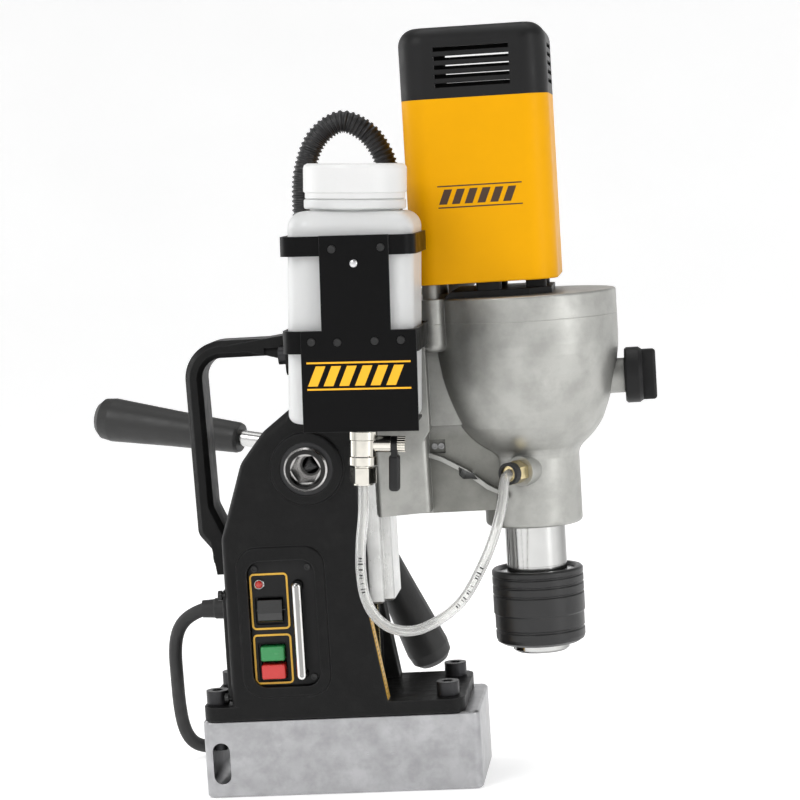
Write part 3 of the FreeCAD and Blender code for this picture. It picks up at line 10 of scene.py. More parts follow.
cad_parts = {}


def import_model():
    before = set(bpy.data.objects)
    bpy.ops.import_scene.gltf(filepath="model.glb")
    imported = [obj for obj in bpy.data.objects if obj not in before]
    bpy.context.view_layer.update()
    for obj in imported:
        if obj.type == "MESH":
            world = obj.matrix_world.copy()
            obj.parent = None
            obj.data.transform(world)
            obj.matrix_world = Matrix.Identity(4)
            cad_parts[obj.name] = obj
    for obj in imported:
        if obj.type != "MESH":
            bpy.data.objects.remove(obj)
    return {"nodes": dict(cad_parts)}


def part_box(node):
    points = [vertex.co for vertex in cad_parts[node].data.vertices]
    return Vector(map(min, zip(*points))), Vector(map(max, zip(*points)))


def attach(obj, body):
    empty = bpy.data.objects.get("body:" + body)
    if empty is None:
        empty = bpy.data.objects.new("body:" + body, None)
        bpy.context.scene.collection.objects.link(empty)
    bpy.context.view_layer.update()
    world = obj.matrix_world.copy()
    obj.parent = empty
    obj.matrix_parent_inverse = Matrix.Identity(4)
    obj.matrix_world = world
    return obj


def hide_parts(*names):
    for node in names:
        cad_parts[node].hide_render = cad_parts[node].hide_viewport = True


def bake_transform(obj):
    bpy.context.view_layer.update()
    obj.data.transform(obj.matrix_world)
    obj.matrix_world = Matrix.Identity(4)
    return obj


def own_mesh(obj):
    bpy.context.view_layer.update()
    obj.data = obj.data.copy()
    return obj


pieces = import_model()["nodes"]
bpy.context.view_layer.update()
rad = math.radians
MM = 0.001

# The valve leans about y; its lever and the hose below it are placed from this point.
VALVE_X, VALVE_Y, VALVE_Z = 29.4, -85, 217.75
VALVE_TILT = rad(3.3)


# ------------------------------------------------------------------ node helpers
class Nodes:
    """Adds nodes to a cleared tree; a value may be a number, a tuple or an output socket."""

    def __init__(self, tree):
        tree.nodes.clear()
        self.tree = tree

    def feed(self, node, inputs):
        for key, value in inputs.items():
            socket = node.inputs[key]
            if isinstance(value, bpy.types.NodeSocket):
                self.tree.links.new(value, socket)
            elif isinstance(value, tuple) and socket.type == "RGBA":
                socket.default_value = (*value, 1)
            else:
                socket.default_value = value

    def add(self, kind, inputs=None, **settings):
        node = self.tree.nodes.new("ShaderNode" + kind)
        for key, value in settings.items():
            setattr(node, key, value)
        self.feed(node, inputs or {})
        return node

    def remap(self, value, span=(0, 1), to=(0, 1)):
        return self.add("MapRange", {
            "From Min": span[0], "From Max": span[1],
            "To Min": to[0], "To Max": to[1], "Value": value}).outputs[0]

    def math(self, operation, a, b):
        return self.add("Math", {0: a, 1: b}, operation=operation).outputs[0]

    def mix(self, factor, a, b, mode="MIX"):
        inputs = {0: factor, 6: a, 7: b}
        return self.add("Mix", inputs, data_type="RGBA", blend_type=mode).outputs[2]

    def ramp(self, value, stops):
        """stops: (position, grey or colour), in rising order."""
        node = self.add("ValToRGB", {0: value})
        elements = node.color_ramp.elements
        for index, stop in ((0, stops[0]), (1, stops[-1])):
            elements[index].position = stop[0]
            elements[index].color = self.rgba(stop[1])
        for position, colour in stops[1:-1]:
            elements.new(position).color = self.rgba(colour)
        return node.outputs[0]

    @staticmethod
    def rgba(colour):
        return (*colour, 1) if isinstance(colour, tuple) else (colour, colour, colour, 1)


MATERIALS = {}


class Look(Nodes):
    """A principled material patterned in object space."""

    def __init__(self, name):
        material = bpy.data.materials.new(name)
        material.use_nodes = True
        super().__init__(material.node_tree)
        self.shader = self.add("BsdfPrincipled")
        self.add("OutputMaterial", {0: self.shader.outputs[0]})
        self.place = self.add("TexCoord").outputs["Object"]
        self.normal = None
        MATERIALS[name] = material

    def set(self, inputs):
        self.feed(self.shader, inputs)

    def coords(self, scale=(1, 1, 1)):
        return self.add("Mapping", {"Scale": scale, "Vector": self.place}).outputs[0]

    def noise(self, size, detail=3, rough=0.5, scale=(1, 1, 1), low=0.3, high=0.7):
        """Noise of a size in mm, stretched so that low..high becomes 0..1."""
        node = self.add("TexNoise", {
            "Scale": 1000.0 / size, "Detail": detail, "Roughness": rough,
            "Vector": self.coords(scale)})
        return self.remap(node.outputs["Fac"], span=(low, high))

    def overlay(self, colour, mask, strength, over):
        return self.mix(self.math("MULTIPLY", mask, strength), colour, over)

    def bump(self, height, depth, strength):
        """Adds relief of a depth in mm on top of the normal so far."""
        inputs = {"Strength": strength, "Distance": depth * MM, "Height": height}
        if self.normal is not None:
            inputs["Normal"] = self.normal
        self.normal = self.add("Bump", inputs).outputs[0]
        self.set({"Normal": self.normal})

    def soften(self, radius):
        """Rounds edges in the shading and returns a mask of the edges."""
        self.normal = self.add("Bevel", {"Radius": radius * MM}, samples=4).outputs[0]
        flat = self.add("NewGeometry").outputs["Normal"]
        dot = self.add("VectorMath", {0: self.normal, 1: flat}, operation="DOT_PRODUCT")
        return self.remap(dot.outputs["Value"], span=(0.99, 0.75))

    def multiply_base(self, by, factor=1.0):
        base = self.shader.inputs["Base Color"].links[0].from_socket
        self.set({"Base Color": self.mix(factor, base, by, "MULTIPLY")})


def srgb(*channels):
    def linear(c):
        return c / 12.92 if c <= 0.04045 else ((c + 0.055) / 1.055) ** 2.4
    return tuple(linear(c / 255) for c in channels)


def tone(colour, gain):
    return tuple(min(1.0, c * gain) for c in colour)


# Stretch of the fine grain for each brushing direction.
BRUSHING = {None: (1, 1, 1), "x": (0.03, 1, 1), "y": (1, 0.03, 1), "z": (1, 1, 0.02),
            "turned": (0.04, 0.04, 1)}


def metal(name, base, rough, vary=0.12, size=14, brushed=None, band=0.35, bump=0.012,
          patches=None, soften=None, edge=None, metallic=1.0, recess=None):
    """vary, size: strength and size of the mottling; band, bump: width and depth of the
    grain; patches: size of dark patches; soften, edge: radius and strength of a painted
    highlight on the edges; recess: painted shade in recesses, as occlusion distance,
    darkest and lightest occlusion, tone at the darkest."""
    look = Look(name)
    if soften:
        edges = look.soften(soften)
    colour = look.mix(look.noise(size, detail=4), tone(base, 1 - vary), tone(base, 1 + vary))
    if patches:
        mask = look.noise(patches, detail=6, rough=0.62, low=0.42, high=0.66)
        colour = look.overlay(colour, mask, strength=0.5, over=tone(base, 0.68))
    # Painted highlight: the edges are made lighter in the base colour.
    if soften:
        colour = look.overlay(colour, edges, strength=edge, over=tone(base, 1.5))
    # Painted shade: the colour is darkened where occlusion finds the surface in a recess or
    # close to another part.
    if recess:
        distance, dark, light, darkest = recess
        occlusion = look.add("AmbientOcclusion", {"Distance": distance * MM}, samples=6)
        shade = look.remap(occlusion.outputs["AO"], span=(dark, light), to=(darkest, 1.0))
        colour = look.mix(1.0, colour, shade, "MULTIPLY")
    broad = look.noise(size * 0.6, detail=5, rough=0.6)
    grain = look.noise(band, detail=2, scale=BRUSHING[brushed])
    look.set({
        "Base Color": colour,
        "Metallic": metallic,
        "Roughness": look.remap(look.math("ADD", broad, grain), span=(0, 2),
                                to=(rough * 0.75, rough * 1.25))})
    look.bump(grain, depth=bump, strength=0.6)
    return look


def plastic(name, base, rough, grain=0.5, bump=0.03, vary=0.06, coat=0.0, spec=0.5,
            dust=None, soften=None, edge=None, edge_highlight_colour=None, swell=None):
    """grain, bump: size and depth of the texture; vary: strength of the mottling;
    soften, edge: radius and strength of a painted highlight on the edges; swell: depth of
    a broad unevenness."""
    look = Look(name)
    if soften:
        edges = look.soften(soften)
    colour = look.mix(look.noise(26, detail=4), tone(base, 1 - vary), tone(base, 1 + vary))
    colour = look.overlay(colour, look.noise(3.2), strength=0.35,
                          over=tone(base, 1 - vary * 0.8))
    if dust:
        mask = look.noise(11, detail=6, rough=0.65, low=0.5, high=0.75)
        colour = look.overlay(colour, mask, strength=dust, over=(0.32, 0.31, 0.29))
    # Painted highlight: the edges are made lighter than the base colour.
    if soften:
        colour = look.overlay(colour, edges, strength=edge,
                              over=edge_highlight_colour or tone(base, 1.8))
    look.set({
        "Base Color": colour,
        "Specular IOR Level": spec,
        "Roughness": look.remap(look.noise(8, detail=5), to=(rough - 0.06, rough + 0.07)),
        "Coat Weight": coat,
        "Coat Roughness": 0.2})
    cells = look.add("TexVoronoi", {"Scale": 1000.0 / grain, "Vector": look.coords()},
                     feature="SMOOTH_F1")
    look.bump(cells.outputs["Distance"], depth=bump, strength=0.5)
    if swell:
        look.bump(look.noise(9, detail=4, rough=0.55), depth=swell, strength=0.6)


def milky(name, base, transmission, rough, subsurface, thick):
    look = Look(name)
    look.set({
        "Base Color": look.mix(look.noise(40), tone(base, 0.975), base),
        "Subsurface Weight": subsurface,
        "Subsurface Radius": (1.0, 1.0, 0.97),
        "Subsurface Scale": thick * MM,
        "Transmission Weight": transmission,
        "IOR": 1.49,
        "Roughness": look.remap(look.noise(12, detail=4), to=(rough - 0.05, rough + 0.06))})
    look.bump(look.noise(1.6, detail=2), depth=0.05, strength=0.35)


# ------------------------------------------------------------------ metals
metal("machined_steel", base=(0.50, 0.50, 0.50), rough=0.30, brushed="x", soften=0.5, edge=0.3)
metal("magnet_steel", base=(0.40, 0.40, 0.41), rough=0.34, brushed="x", patches=9,
      soften=0.8, edge=0.4)
shaft_steel = metal("shaft_steel", base=(0.56, 0.55, 0.54), rough=0.22, brushed="y",
                    soften=0.4, edge=0.3)
polished_steel = metal("polished_steel", base=(0.56, 0.56, 0.55), rough=0.17,
                       brushed="turned", band=0.3, bump=0.006, vary=0.05)
metal("spoke_steel", base=(0.60, 0.60, 0.59), rough=0.2, brushed="x", vary=0.05)
metal("bearing_steel", base=(0.58, 0.58, 0.58), rough=0.2, vary=0.05, brushed="turned")
metal("spring_steel", base=(0.42, 0.42, 0.43), rough=0.3)
metal("laminated_steel", base=(0.30, 0.30, 0.31), rough=0.4, brushed="turned", band=0.5,
      bump=0.12)
metal("aluminium", base=(0.64, 0.64, 0.628), rough=0.3, brushed="z", band=0.25, bump=0.02,
      metallic=0.85, soften=0.4, edge=0.2)
cast_aluminium = metal(
    "cast_aluminium", base=(0.42, 0.42, 0.398), rough=0.42, vary=0.08, size=22, patches=13,
    bump=0.03, band=0.6, metallic=0.75, soften=0.8, edge=0.35, recess=(55, 0.2, 0.85, 0.52))
chrome = metal("chrome", base=(0.80, 0.79, 0.77), rough=0.08, vary=0.03, bump=0.002)
nickel = metal("nickel", base=(0.77, 0.74, 0.67), rough=0.13, vary=0.06, bump=0.006, size=5,
               soften=0.3, edge=0.2)
metal("brass", base=(0.72, 0.60, 0.34), rough=0.22, vary=0.08, size=6, soften=0.3, edge=0.2)
metal("bronze", base=(0.42, 0.29, 0.15), rough=0.35, brushed="y")
metal("copper", base=(0.48, 0.20, 0.08), rough=0.3, brushed="turned", band=0.9, bump=0.25)
metal("zinc_screw", base=(0.62, 0.62, 0.63), rough=0.26, vary=0.08, size=4,
      soften=0.25, edge=0.3)
metal("dull_screw", base=(0.26, 0.26, 0.26), rough=0.34, size=4, soften=0.25, edge=0.3)
metal("black_screw", base=(0.035, 0.035, 0.037), rough=0.38, vary=0.15, size=5,
      metallic=0.7, soften=0.4, edge=0.4)
metal("steel_rivet", base=(0.035, 0.035, 0.035), rough=0.35, vary=0.15, size=4,
      metallic=0.8, soften=0.3, edge=0.4)
metal("bush_black", base=(0.03, 0.03, 0.031), rough=0.36, brushed="turned", metallic=0.6,
      soften=0.4, edge=0.4)

# ------------------------------------------------------------------ plastics and rubbers
plastic("black_casting", base=(0.0056, 0.0056, 0.0057), rough=0.44, grain=0.9, bump=0.09,
        vary=0.12, dust=0.01, spec=0.16, edge=0.55, soften=1.3,
        edge_highlight_colour=(0.06, 0.06, 0.06), swell=0.35)
plastic("black_plastic", base=(0.0095, 0.0095, 0.0098), rough=0.42, spec=0.2, grain=0.45,
        bump=0.04, edge=0.15, soften=0.5)
plastic("black_sheet", base=(0.0026, 0.0026, 0.0028), rough=0.36, grain=0.7, spec=0.1,
        edge=0.5, soften=0.5, edge_highlight_colour=(0.11, 0.11, 0.11))
plastic("black_rubber", base=(0.017, 0.017, 0.017), rough=0.6, grain=0.35)
plastic("collar_rubber", base=(0.0145, 0.0145, 0.0148), rough=0.36, spec=0.45, grain=0.4,
        edge=0.2, soften=0.6, edge_highlight_colour=(0.08, 0.08, 0.08))
plastic("grip_rubber", base=(0.0155, 0.0155, 0.015), rough=0.48, grain=1.3, bump=0.12,
        edge=0.1, soften=0.5)
plastic("conduit_plastic", base=(0.014, 0.014, 0.0145), rough=0.4, grain=0.6, bump=0.02)
plastic("switch_black", base=(0.012, 0.012, 0.012), rough=0.2, bump=0.004, coat=0.4)
plastic("switch_green", base=(0.012, 0.22, 0.055), rough=0.24, bump=0.006, coat=0.4)
plastic("switch_red", base=(0.50, 0.016, 0.013), rough=0.24, bump=0.006, coat=0.4)
plastic("potting", base=(0.06, 0.06, 0.065), rough=0.5, bump=0.08, grain=2.0)
plastic("carbon", base=(0.03, 0.03, 0.03), rough=0.6)
plastic("yellow_plastic", base=srgb(225, 160, 0), rough=0.4, grain=0.8, bump=0.022,
        vary=0.022, spec=0.09, edge=0.25, soften=0.9, edge_highlight_colour=srgb(255, 205, 70))
plastic("print_yellow", base=srgb(244, 178, 12), rough=0.45, bump=0.01, vary=0.04)
plastic("print_dark", base=srgb(62, 38, 12), rough=0.45, bump=0.01, vary=0.08)
plastic("print_black", base=(0.02, 0.02, 0.02), rough=0.5, bump=0.01, vary=0.08)
plastic("outline_yellow", base=srgb(214, 166, 52), rough=0.4, bump=0.01, vary=0.05)
milky("bottle_plastic", base=(0.89, 0.90, 0.89), transmission=0.25, rough=0.34,
      subsurface=0.6, thick=8)
milky("cap_plastic", base=(0.74, 0.74, 0.735), transmission=0.05, rough=0.38,
      subsurface=0.4, thick=4)


# ------------------------------------------------------------------ single materials
def circuit_board():
    look = Look("circuit_board")
    tracks = look.noise(2.2, detail=0, scale=(1, 0.15, 1), low=0.5, high=0.52)
    look.set({
        "Base Color": look.mix(tracks, (0.02, 0.16, 0.06), (0.03, 0.24, 0.09)),
        "Roughness": look.remap(look.noise(5), to=(0.3, 0.45))})
    look.bump(tracks, depth=0.03, strength=1.0)


def hose_clear():
    look = Look("hose_clear")
    look.set({
        "Base Color": look.mix(look.noise(30), (0.95, 0.95, 0.935), (0.985, 0.985, 0.97)),
        "Transmission Weight": 0.82,
        "IOR": 1.42,
        "Roughness": look.remap(look.noise(6, detail=4), to=(0.08, 0.2))})
    look.bump(look.noise(1.2, detail=2), depth=0.02, strength=0.4)


def valve_lever():
    """Black lever and, above it on the stem, a bright nut, told apart by where they are."""
    look = Look("valve_lever")
    sin, cos = math.sin(VALVE_TILT), math.cos(VALVE_TILT)
    sides = []
    # Bright where it is past both limits, measured from the valve across and up its tilt.
    for direction, limit in (((cos, 0, -sin), 19.0), ((sin, 0, cos), -17.0)):
        along = look.add("VectorMath", {0: look.place, 1: direction}, operation="DOT_PRODUCT")
        limit += VALVE_X * direction[0] + VALVE_Z * direction[2]
        sides.append(look.math("GREATER_THAN", along.outputs["Value"], limit * MM))
    bright = look.math("MULTIPLY", *sides)
    black = look.mix(look.noise(9, detail=4), (0.005, 0.005, 0.0053), (0.008, 0.008, 0.0083))
    plated = look.mix(look.noise(5), (0.70, 0.67, 0.60), (0.80, 0.77, 0.70))
    # Taking 4 off where it is bright leaves the nut at the smooth end of the range.
    wear = look.math("ADD", look.noise(6, detail=4), look.math("MULTIPLY", bright, -4))
    look.set({
        "Base Color": look.mix(bright, black, plated),
        "Metallic": bright,
        "Specular IOR Level": 0.35,
        "Roughness": look.remap(wear, span=(-4, 1), to=(0.12, 0.36))})
    look.bump(look.noise(0.6, detail=2), depth=0.015, strength=0.5)


def lamp_red():
    look = Look("lamp_red")
    red = look.noise(1.0, detail=2)
    look.set({
        "Base Color": look.mix(red, (0.55, 0.02, 0.015), (0.7, 0.04, 0.02)),
        "Roughness": look.remap(look.noise(1, detail=2), to=(0.08, 0.16)),
        "Transmission Weight": 0.3,
        "Coat Weight": 0.5})


def floor_pale():
    look = Look("floor_pale")
    look.set({
        "Base Color": look.mix(look.noise(300), (0.90, 0.90, 0.90), (0.93, 0.93, 0.93)),
        "Roughness": look.remap(look.noise(90), to=(0.65, 0.75)),
        "Emission Color": (1, 1, 1),
        "Emission Strength": 0.44})


circuit_board()
hose_clear()
valve_lever()
lamp_red()
floor_pale()


# ------------------------------------------------------------------ local shading
def paint_socket_shade(look):
    """Painted shade in the recess between the rim and the hexagon at the feed shaft's near
    end.
    """
    # Offset from the shaft's axis in metres, with the y component dropped.
    offset = look.add("VectorMath", {0: look.place, 1: (1, 0, 1), 2: (0.0096, 0, -0.1888)},
                      operation="MULTIPLY_ADD")
    radius = look.add("VectorMath", {0: offset.outputs[0]}, operation="LENGTH")
    # The ramp's 0..1 covers a radius of 20 mm.
    # Painted shade: the stops darken the socket's centre and the ring of the recess.
    look.multiply_base(look.ramp(look.math("MULTIPLY", radius.outputs["Value"], 50.0), [
        (0.0, (0.12, 0.11, 0.10)), (0.30, 0.16), (0.335, 0.75), (0.425, 0.85),
        (0.44, 0.06), (0.565, 0.05), (0.58, 1.0), (1.0, 1.0)]))


# Limits of the web's painted shade: axis, where the darkening starts and where it is full, in
# metres.
WEB_SHADE_LIMITS = [("Y", -0.0236, -0.0226), ("X", 0.0587, 0.0594), ("X", 0.1, 0.0985),
              ("Z", 0.211, 0.2005)]


def paint_web_shade(look):
    """Painted shade: the set-back faces of the web are darkened in their colour."""
    position = look.add("SeparateXYZ", {0: look.place}).outputs
    mask = None
    for axis, start, full in WEB_SHADE_LIMITS:
        inside = look.remap(position[axis], span=(start, full))
        mask = inside if mask is None else look.math("MULTIPLY", mask, inside)
    look.multiply_base((0.60, 0.60, 0.58), factor=mask)


def streak(look, stops):
    """Studio streaks on round bright parts: brightness by how far the surface turns away."""
    facing = look.add("LayerWeight", {"Blend": 0.5}).outputs["Facing"]
    look.multiply_base(look.ramp(facing, stops))


paint_socket_shade(shaft_steel)
paint_web_shade(cast_aluminium)
streak(chrome, [(0.0, 0.95), (0.01, 0.35), (0.07, 0.35), (0.14, 1.0), (0.4, 1.0),
                (0.6, 0.4), (0.78, 0.35), (1.0, 0.9)])
streak(nickel, [(0.0, 0.9), (0.1, 0.98), (0.2, 0.55), (0.3, 0.95), (0.45, 0.9),
                (0.6, 0.3), (0.8, 0.35), (1.0, 0.9)])
streak(polished_steel, [(0.0, 1.0), (0.25, 0.95), (0.5, 0.55), (0.7, 0.42), (1.0, 0.6)])

# ------------------------------------------------------------------ CAD pieces
# Material of each piece.
FINISH = {
    "magnet_base": "magnet_steel", "magnet_coils": "potting",
    "body_housing": "black_casting", "stand_bolts": "black_screw",
    "stand_screws": "steel_rivet", "rear_cover": "black_plastic",
    "control_board": "circuit_board", "control_panel": "black_plastic",
    "switch_guard": "chrome", "switch_block": "black_plastic",
    "carry_handle": "black_casting", "power_cord": "black_rubber",
    "gib_strip": "brass", "feed_bushes": "bush_black",
    "coolant_bottle": "bottle_plastic", "bottle_bracket": "black_sheet",
    "valve_body": "nickel", "compression_nut": "nickel",
    "coolant_hose": "hose_clear", "conduit_gland_stand": "black_plastic",
    "cable_conduit": "conduit_plastic", "magnet_rocker": "switch_black",
    "start_button": "switch_green", "stop_button": "switch_red",
    "bottle_cap": "cap_plastic", "valve_ball": "nickel", "valve_lever": "valve_lever",
    "feed_pinion_shaft": "shaft_steel", "feed_hub": "black_casting",
    "hub_screw": "zinc_screw", "feed_spokes": "spoke_steel", "feed_grips": "grip_rubber",
    "slide_rail": "aluminium", "rack": "machined_steel", "gearcase": "cast_aluminium",
    "gearcase_cover": "cast_aluminium", "carriage_screws": "dull_screw",
    "bearings": "bearing_steel", "motor_flange": "black_plastic",
    "motor_housing": "yellow_plastic", "motor_top_cap": "black_plastic",
    "stator_core": "laminated_steel", "field_coils": "copper",
    "brush_bridge": "black_plastic", "carbon_brushes": "carbon",
    "hose_fitting": "brass", "fitting_ring": "black_rubber",
    "conduit_gland_motor": "black_plastic", "armature": "laminated_steel",
    "cooling_fan": "black_plastic", "layshaft": "machined_steel",
    "spindle": "polished_steel", "arbor_chuck": "polished_steel",
    "chuck_lock": "bearing_steel", "collar_spring": "spring_steel",
    "gear_cluster": "machined_steel", "shift_fork": "bronze",
    "selector_shaft": "machined_steel", "selector_knob": "black_plastic",
    "chuck_collar": "collar_rubber",
}
for name, piece in pieces.items():
    mesh = piece.data
    mesh.materials.clear()
    mesh.materials.append(MATERIALS[FINISH[name]])
    for polygon in mesh.polygons:
        polygon.material_index = 0
    mesh.shade_smooth()
    mesh.set_sharp_from_angle(angle=rad(28))


# ------------------------------------------------------------------ mesh helpers
def make_object(name, verts, faces, finish, smooth=True, angle=35):
    """Vertices are in metres."""
    mesh = bpy.data.meshes.new(name)
    mesh.from_pydata([tuple(v) for v in verts], [], faces)
    mesh.validate()
    edit = bmesh.new()
    edit.from_mesh(mesh)
    bmesh.ops.recalc_face_normals(edit, faces=edit.faces)
    edit.to_mesh(mesh)
    edit.free()
    if smooth:
        mesh.shade_smooth()
        mesh.set_sharp_from_angle(angle=rad(angle))
    made = bpy.data.objects.new(name, mesh)
    bpy.context.scene.collection.objects.link(made)
    mesh.materials.append(MATERIALS[finish])
    return made


def circle(count):
    """Cosine and sine of evenly spaced angles."""
    angles = [2 * math.pi * k / count for k in range(count)]
    return [(math.cos(a), math.sin(a)) for a in angles]


def quads(first, rows, around):
    """Faces between successive closed rows of vertices, from vertex number first."""
    faces = []
    for i in range(rows - 1):
        low = first + i * around
        high = low + around
        for k in range(around):
            k2 = (k + 1) % around
            faces.append((low + k, low + k2, high + k2, high + k))
    return faces


def spline(points, step):
    """Centripetal Catmull-Rom curve, resampled to an even step; also gives its length."""
    def between(a, b, ta, tb, t):
        return a * ((tb - t) / (tb - ta)) + b * ((t - ta) / (tb - ta))

    knots = [Vector(p) for p in points]
    knots = [knots[0] * 2 - knots[1]] + knots + [knots[-1] * 2 - knots[-2]]
    dense = []
    for p0, p1, p2, p3 in zip(knots, knots[1:], knots[2:], knots[3:]):
        t0 = 0.0
        t1 = t0 + (p1 - p0).length ** 0.5
        t2 = t1 + (p2 - p1).length ** 0.5
        t3 = t2 + (p3 - p2).length ** 0.5
        for k in range(24):
            t = t1 + (t2 - t1) * k / 24
            a1 = between(p0, p1, t0, t1, t)
            a2 = between(p1, p2, t1, t2, t)
            a3 = between(p2, p3, t2, t3, t)
            b1 = between(a1, a2, t0, t2, t)
            b2 = between(a2, a3, t1, t3, t)
            dense.append(between(b1, b2, t1, t2, t))
    dense.append(knots[-2])
    lengths = [0.0]
    for a, b in zip(dense, dense[1:]):
        lengths.append(lengths[-1] + (b - a).length)
    count = round(lengths[-1] / step)
    path, j = [], 0
    for k in range(count + 1):
        length = lengths[-1] * k / count
        while j < len(lengths) - 2 and lengths[j + 1] < length:
            j += 1
        fraction = (length - lengths[j]) / (lengths[j + 1] - lengths[j])
        path.append(dense[j].lerp(dense[j + 1], fraction))
    return path, lengths[-1]


def path_frames(path):
    """Tangent, side and up at each point, turned as little as possible along the path."""
    frames = []
    side = (path[1] - path[0]).normalized().orthogonal().normalized()
    for i in range(len(path)):
        before, after = path[max(i - 1, 0)], path[min(i + 1, len(path) - 1)]
        tangent = (after - before).normalized()
        side = (side - tangent * side.dot(tangent)).normalized()
        frames.append((tangent, side, tangent.cross(side)))
    return frames


def tube(name, path, radii, around, finish, bore=None):
    """Sweeps a circle along the path; capped, or hollow when a bore radius is given."""
    frames = path_frames(path)

    def skin(radii):
        return [(p + (side * c + up * s) * radius) * MM
                for p, (_, side, up), radius in zip(path, frames, radii)
                for c, s in circle(around)]

    verts = skin(radii)
    faces = quads(0, len(path), around)
    inner = len(verts)
    last = inner - around
    if bore:
        verts += skin([bore] * len(path))
        faces += [face[::-1] for face in quads(inner, len(path), around)]
        for a, b in ((0, inner), (last, inner + last)):
            for k in range(around):
                k2 = (k + 1) % around
                faces.append((a + k, a + k2, b + k2, b + k))
    else:
        faces += [tuple(range(around)), tuple(range(last, inner))]
    return make_object(name, verts, faces, finish)


def prism(name, shapes, place, finish, thick, bevel=None):
    """Flat shapes with thickness: outlines, or (outer, inner) pairs with equal counts.
    place maps (u, v, height) to x, y, z."""
    verts, faces = [], []
    for shape in shapes:
        loops = shape if isinstance(shape, tuple) else (shape,)
        first, n = len(verts), len(loops[0])
        verts += [Vector(place(u, v, height)) * MM
                  for height in (0, thick) for loop in loops for u, v in loop]
        if len(loops) == 1:
            faces.append(tuple(range(first, first + n)))
            faces.append(tuple(range(first + n, first + 2 * n)))
            faces += quads(first, 2, n)
            continue
        for k in range(n):
            # Outer and inner edge on the lower face, then the same on the upper face.
            a, b = first + k, first + (k + 1) % n
            c, d = a + n, b + n
            a2, b2, c2, d2 = (i + 2 * n for i in (a, b, c, d))
            faces += [(a, b, d, c), (a2, c2, d2, b2), (a, a2, b2, b), (c, d, d2, c2)]
    made = make_object(name, verts, faces, finish, smooth=False)
    if bevel:
        modifier = made.modifiers.new("edge", "BEVEL")
        modifier.width = bevel * MM
        modifier.segments = 2
        modifier.limit_method = "ANGLE"
    return made


DOME_SEGMENTS = 24


def dome(name, profile, centre, place, finish):
    """Turns a profile of (radius, height) about a centre (u, v); the base is closed."""
    verts = [Vector(place(centre[0] + radius * c, centre[1] + radius * s, height)) * MM
             for radius, height in profile for c, s in circle(DOME_SEGMENTS)]
    faces = quads(0, len(profile), DOME_SEGMENTS) + [tuple(range(DOME_SEGMENTS))]
    return make_object(name, verts, faces, finish)


# ------------------------------------------------------------------ coolant hose
HOSE_RADIUS, HOSE_BORE, HOSE_STEP = 2.9, 1.85, 1.6
FITTING = Vector((109.5, -33, 180))
FITTING_AXIS = Vector((-0.5, -0.866, 0))
fitting_end = FITTING + FITTING_AXIS * 10.7
valve_end = Vector((VALVE_X - 34.8 * math.sin(VALVE_TILT), VALVE_Y,
                    VALVE_Z - 34.8 * math.cos(VALVE_TILT)))
# Stations x, y, z from inside the valve to inside the fitting.
HOSE_STATIONS = [
    valve_end + Vector((0.5, 0, 8)), valve_end, (valve_end.x - 1.0, valve_end.y + 0.3, 168),
    (23.8, -84.0, 150), (22.8, -83.0, 135), (24.2, -82.0, 120), (29.0, -80.5, 109.0),
    (37.5, -78.6, 101.5), (49.0, -75.8, 99.2), (62.0, -72.0, 103.2), (76.0, -67.0, 113),
    (88.0, -61.0, 131), (96.5, -55.0, 150), (101.0, -49.5, 166), (102.2, -45.4, 175.4),
    fitting_end + Vector((-0.8, -1.6, -1.2)), fitting_end - FITTING_AXIS * 2.5]

hose_path, _ = spline(HOSE_STATIONS, HOSE_STEP)
hose = tube("coolant_hose_soft", hose_path, [HOSE_RADIUS] * len(hose_path), 28,
            "hose_clear", bore=HOSE_BORE)
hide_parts("coolant_hose")
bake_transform(hose)

# Path points that carry a short printed mark, in two groups.
MARK_POINTS = [30, 31, 32, 34, 36, 37, 39, 41, 42,
               84, 85, 87, 88, 90, 91, 93, 96, 97, 98, 100]
MARK_FACING = Vector((0.1, -1, 0.05))


def hose_marks():
    frames = path_frames(hose_path)
    verts, faces = [], []
    for i in MARK_POINTS:
        tangent = frames[i][0]
        out = (MARK_FACING - tangent * MARK_FACING.dot(tangent)).normalized()
        across = tangent.cross(out)
        length = 0.45 if i % 2 else 0.8
        turn = 0.096 + 0.032 * (i % 3)  # radians between neighbouring vertices
        first = len(verts)
        for fraction in (0.0, length / HOSE_STEP):
            p = hose_path[i].lerp(hose_path[i + 1], fraction)
            for k in range(-3, 4):
                direction = out * math.cos(turn * k) + across * math.sin(turn * k)
                verts.append((p + direction * (HOSE_RADIUS + 0.02)) * MM)
        for a in range(first, first + 6):
            faces.append((a, a + 1, a + 8, a + 7))
    made = make_object("hose_length_marks", verts, faces, "print_black")
    made.modifiers.new("body", "SOLIDIFY").thickness = 0.06 * MM
    return made


marks = hose_marks()
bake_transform(marks)

# ------------------------------------------------------------------ ribbed conduit
# Stations x, y, z from the gland on the stand, over the top, to the gland on the motor.
CONDUIT_STATIONS = [
    (-5.5, -10, 308.5), (-5.8, -10, 322), (-6.4, -10, 335), (-4.2, -10, 357),
    (4.5, -9.8, 375.5), (18.5, -9.4, 383.5), (31.5, -9.0, 377.6), (40.2, -8.6, 365.4),
    (44.2, -8.2, 350), (45.0, -8, 338), (45.0, -8, 329.0)]
RIB_PITCH, RIB_HEIGHT, GROOVE_RADIUS = 2.6, 0.95, 5.55
RIB_SQUARENESS = 4.5  # higher gives steeper rib sides


def rib_radius(distance):
    phase = distance % RIB_PITCH / RIB_PITCH
    wave = math.tanh(RIB_SQUARENESS * math.cos(2 * math.pi * phase))
    return GROOVE_RADIUS + RIB_HEIGHT * (0.5 + 0.5 * wave / math.tanh(RIB_SQUARENESS))


path, length = spline(CONDUIT_STATIONS, 0.42)
radii = [rib_radius(length * i / (len(path) - 1)) for i in range(len(path))]
conduit = tube("cable_conduit_ribbed", path, radii, 28, "conduit_plastic")
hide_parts("cable_conduit")
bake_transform(conduit)
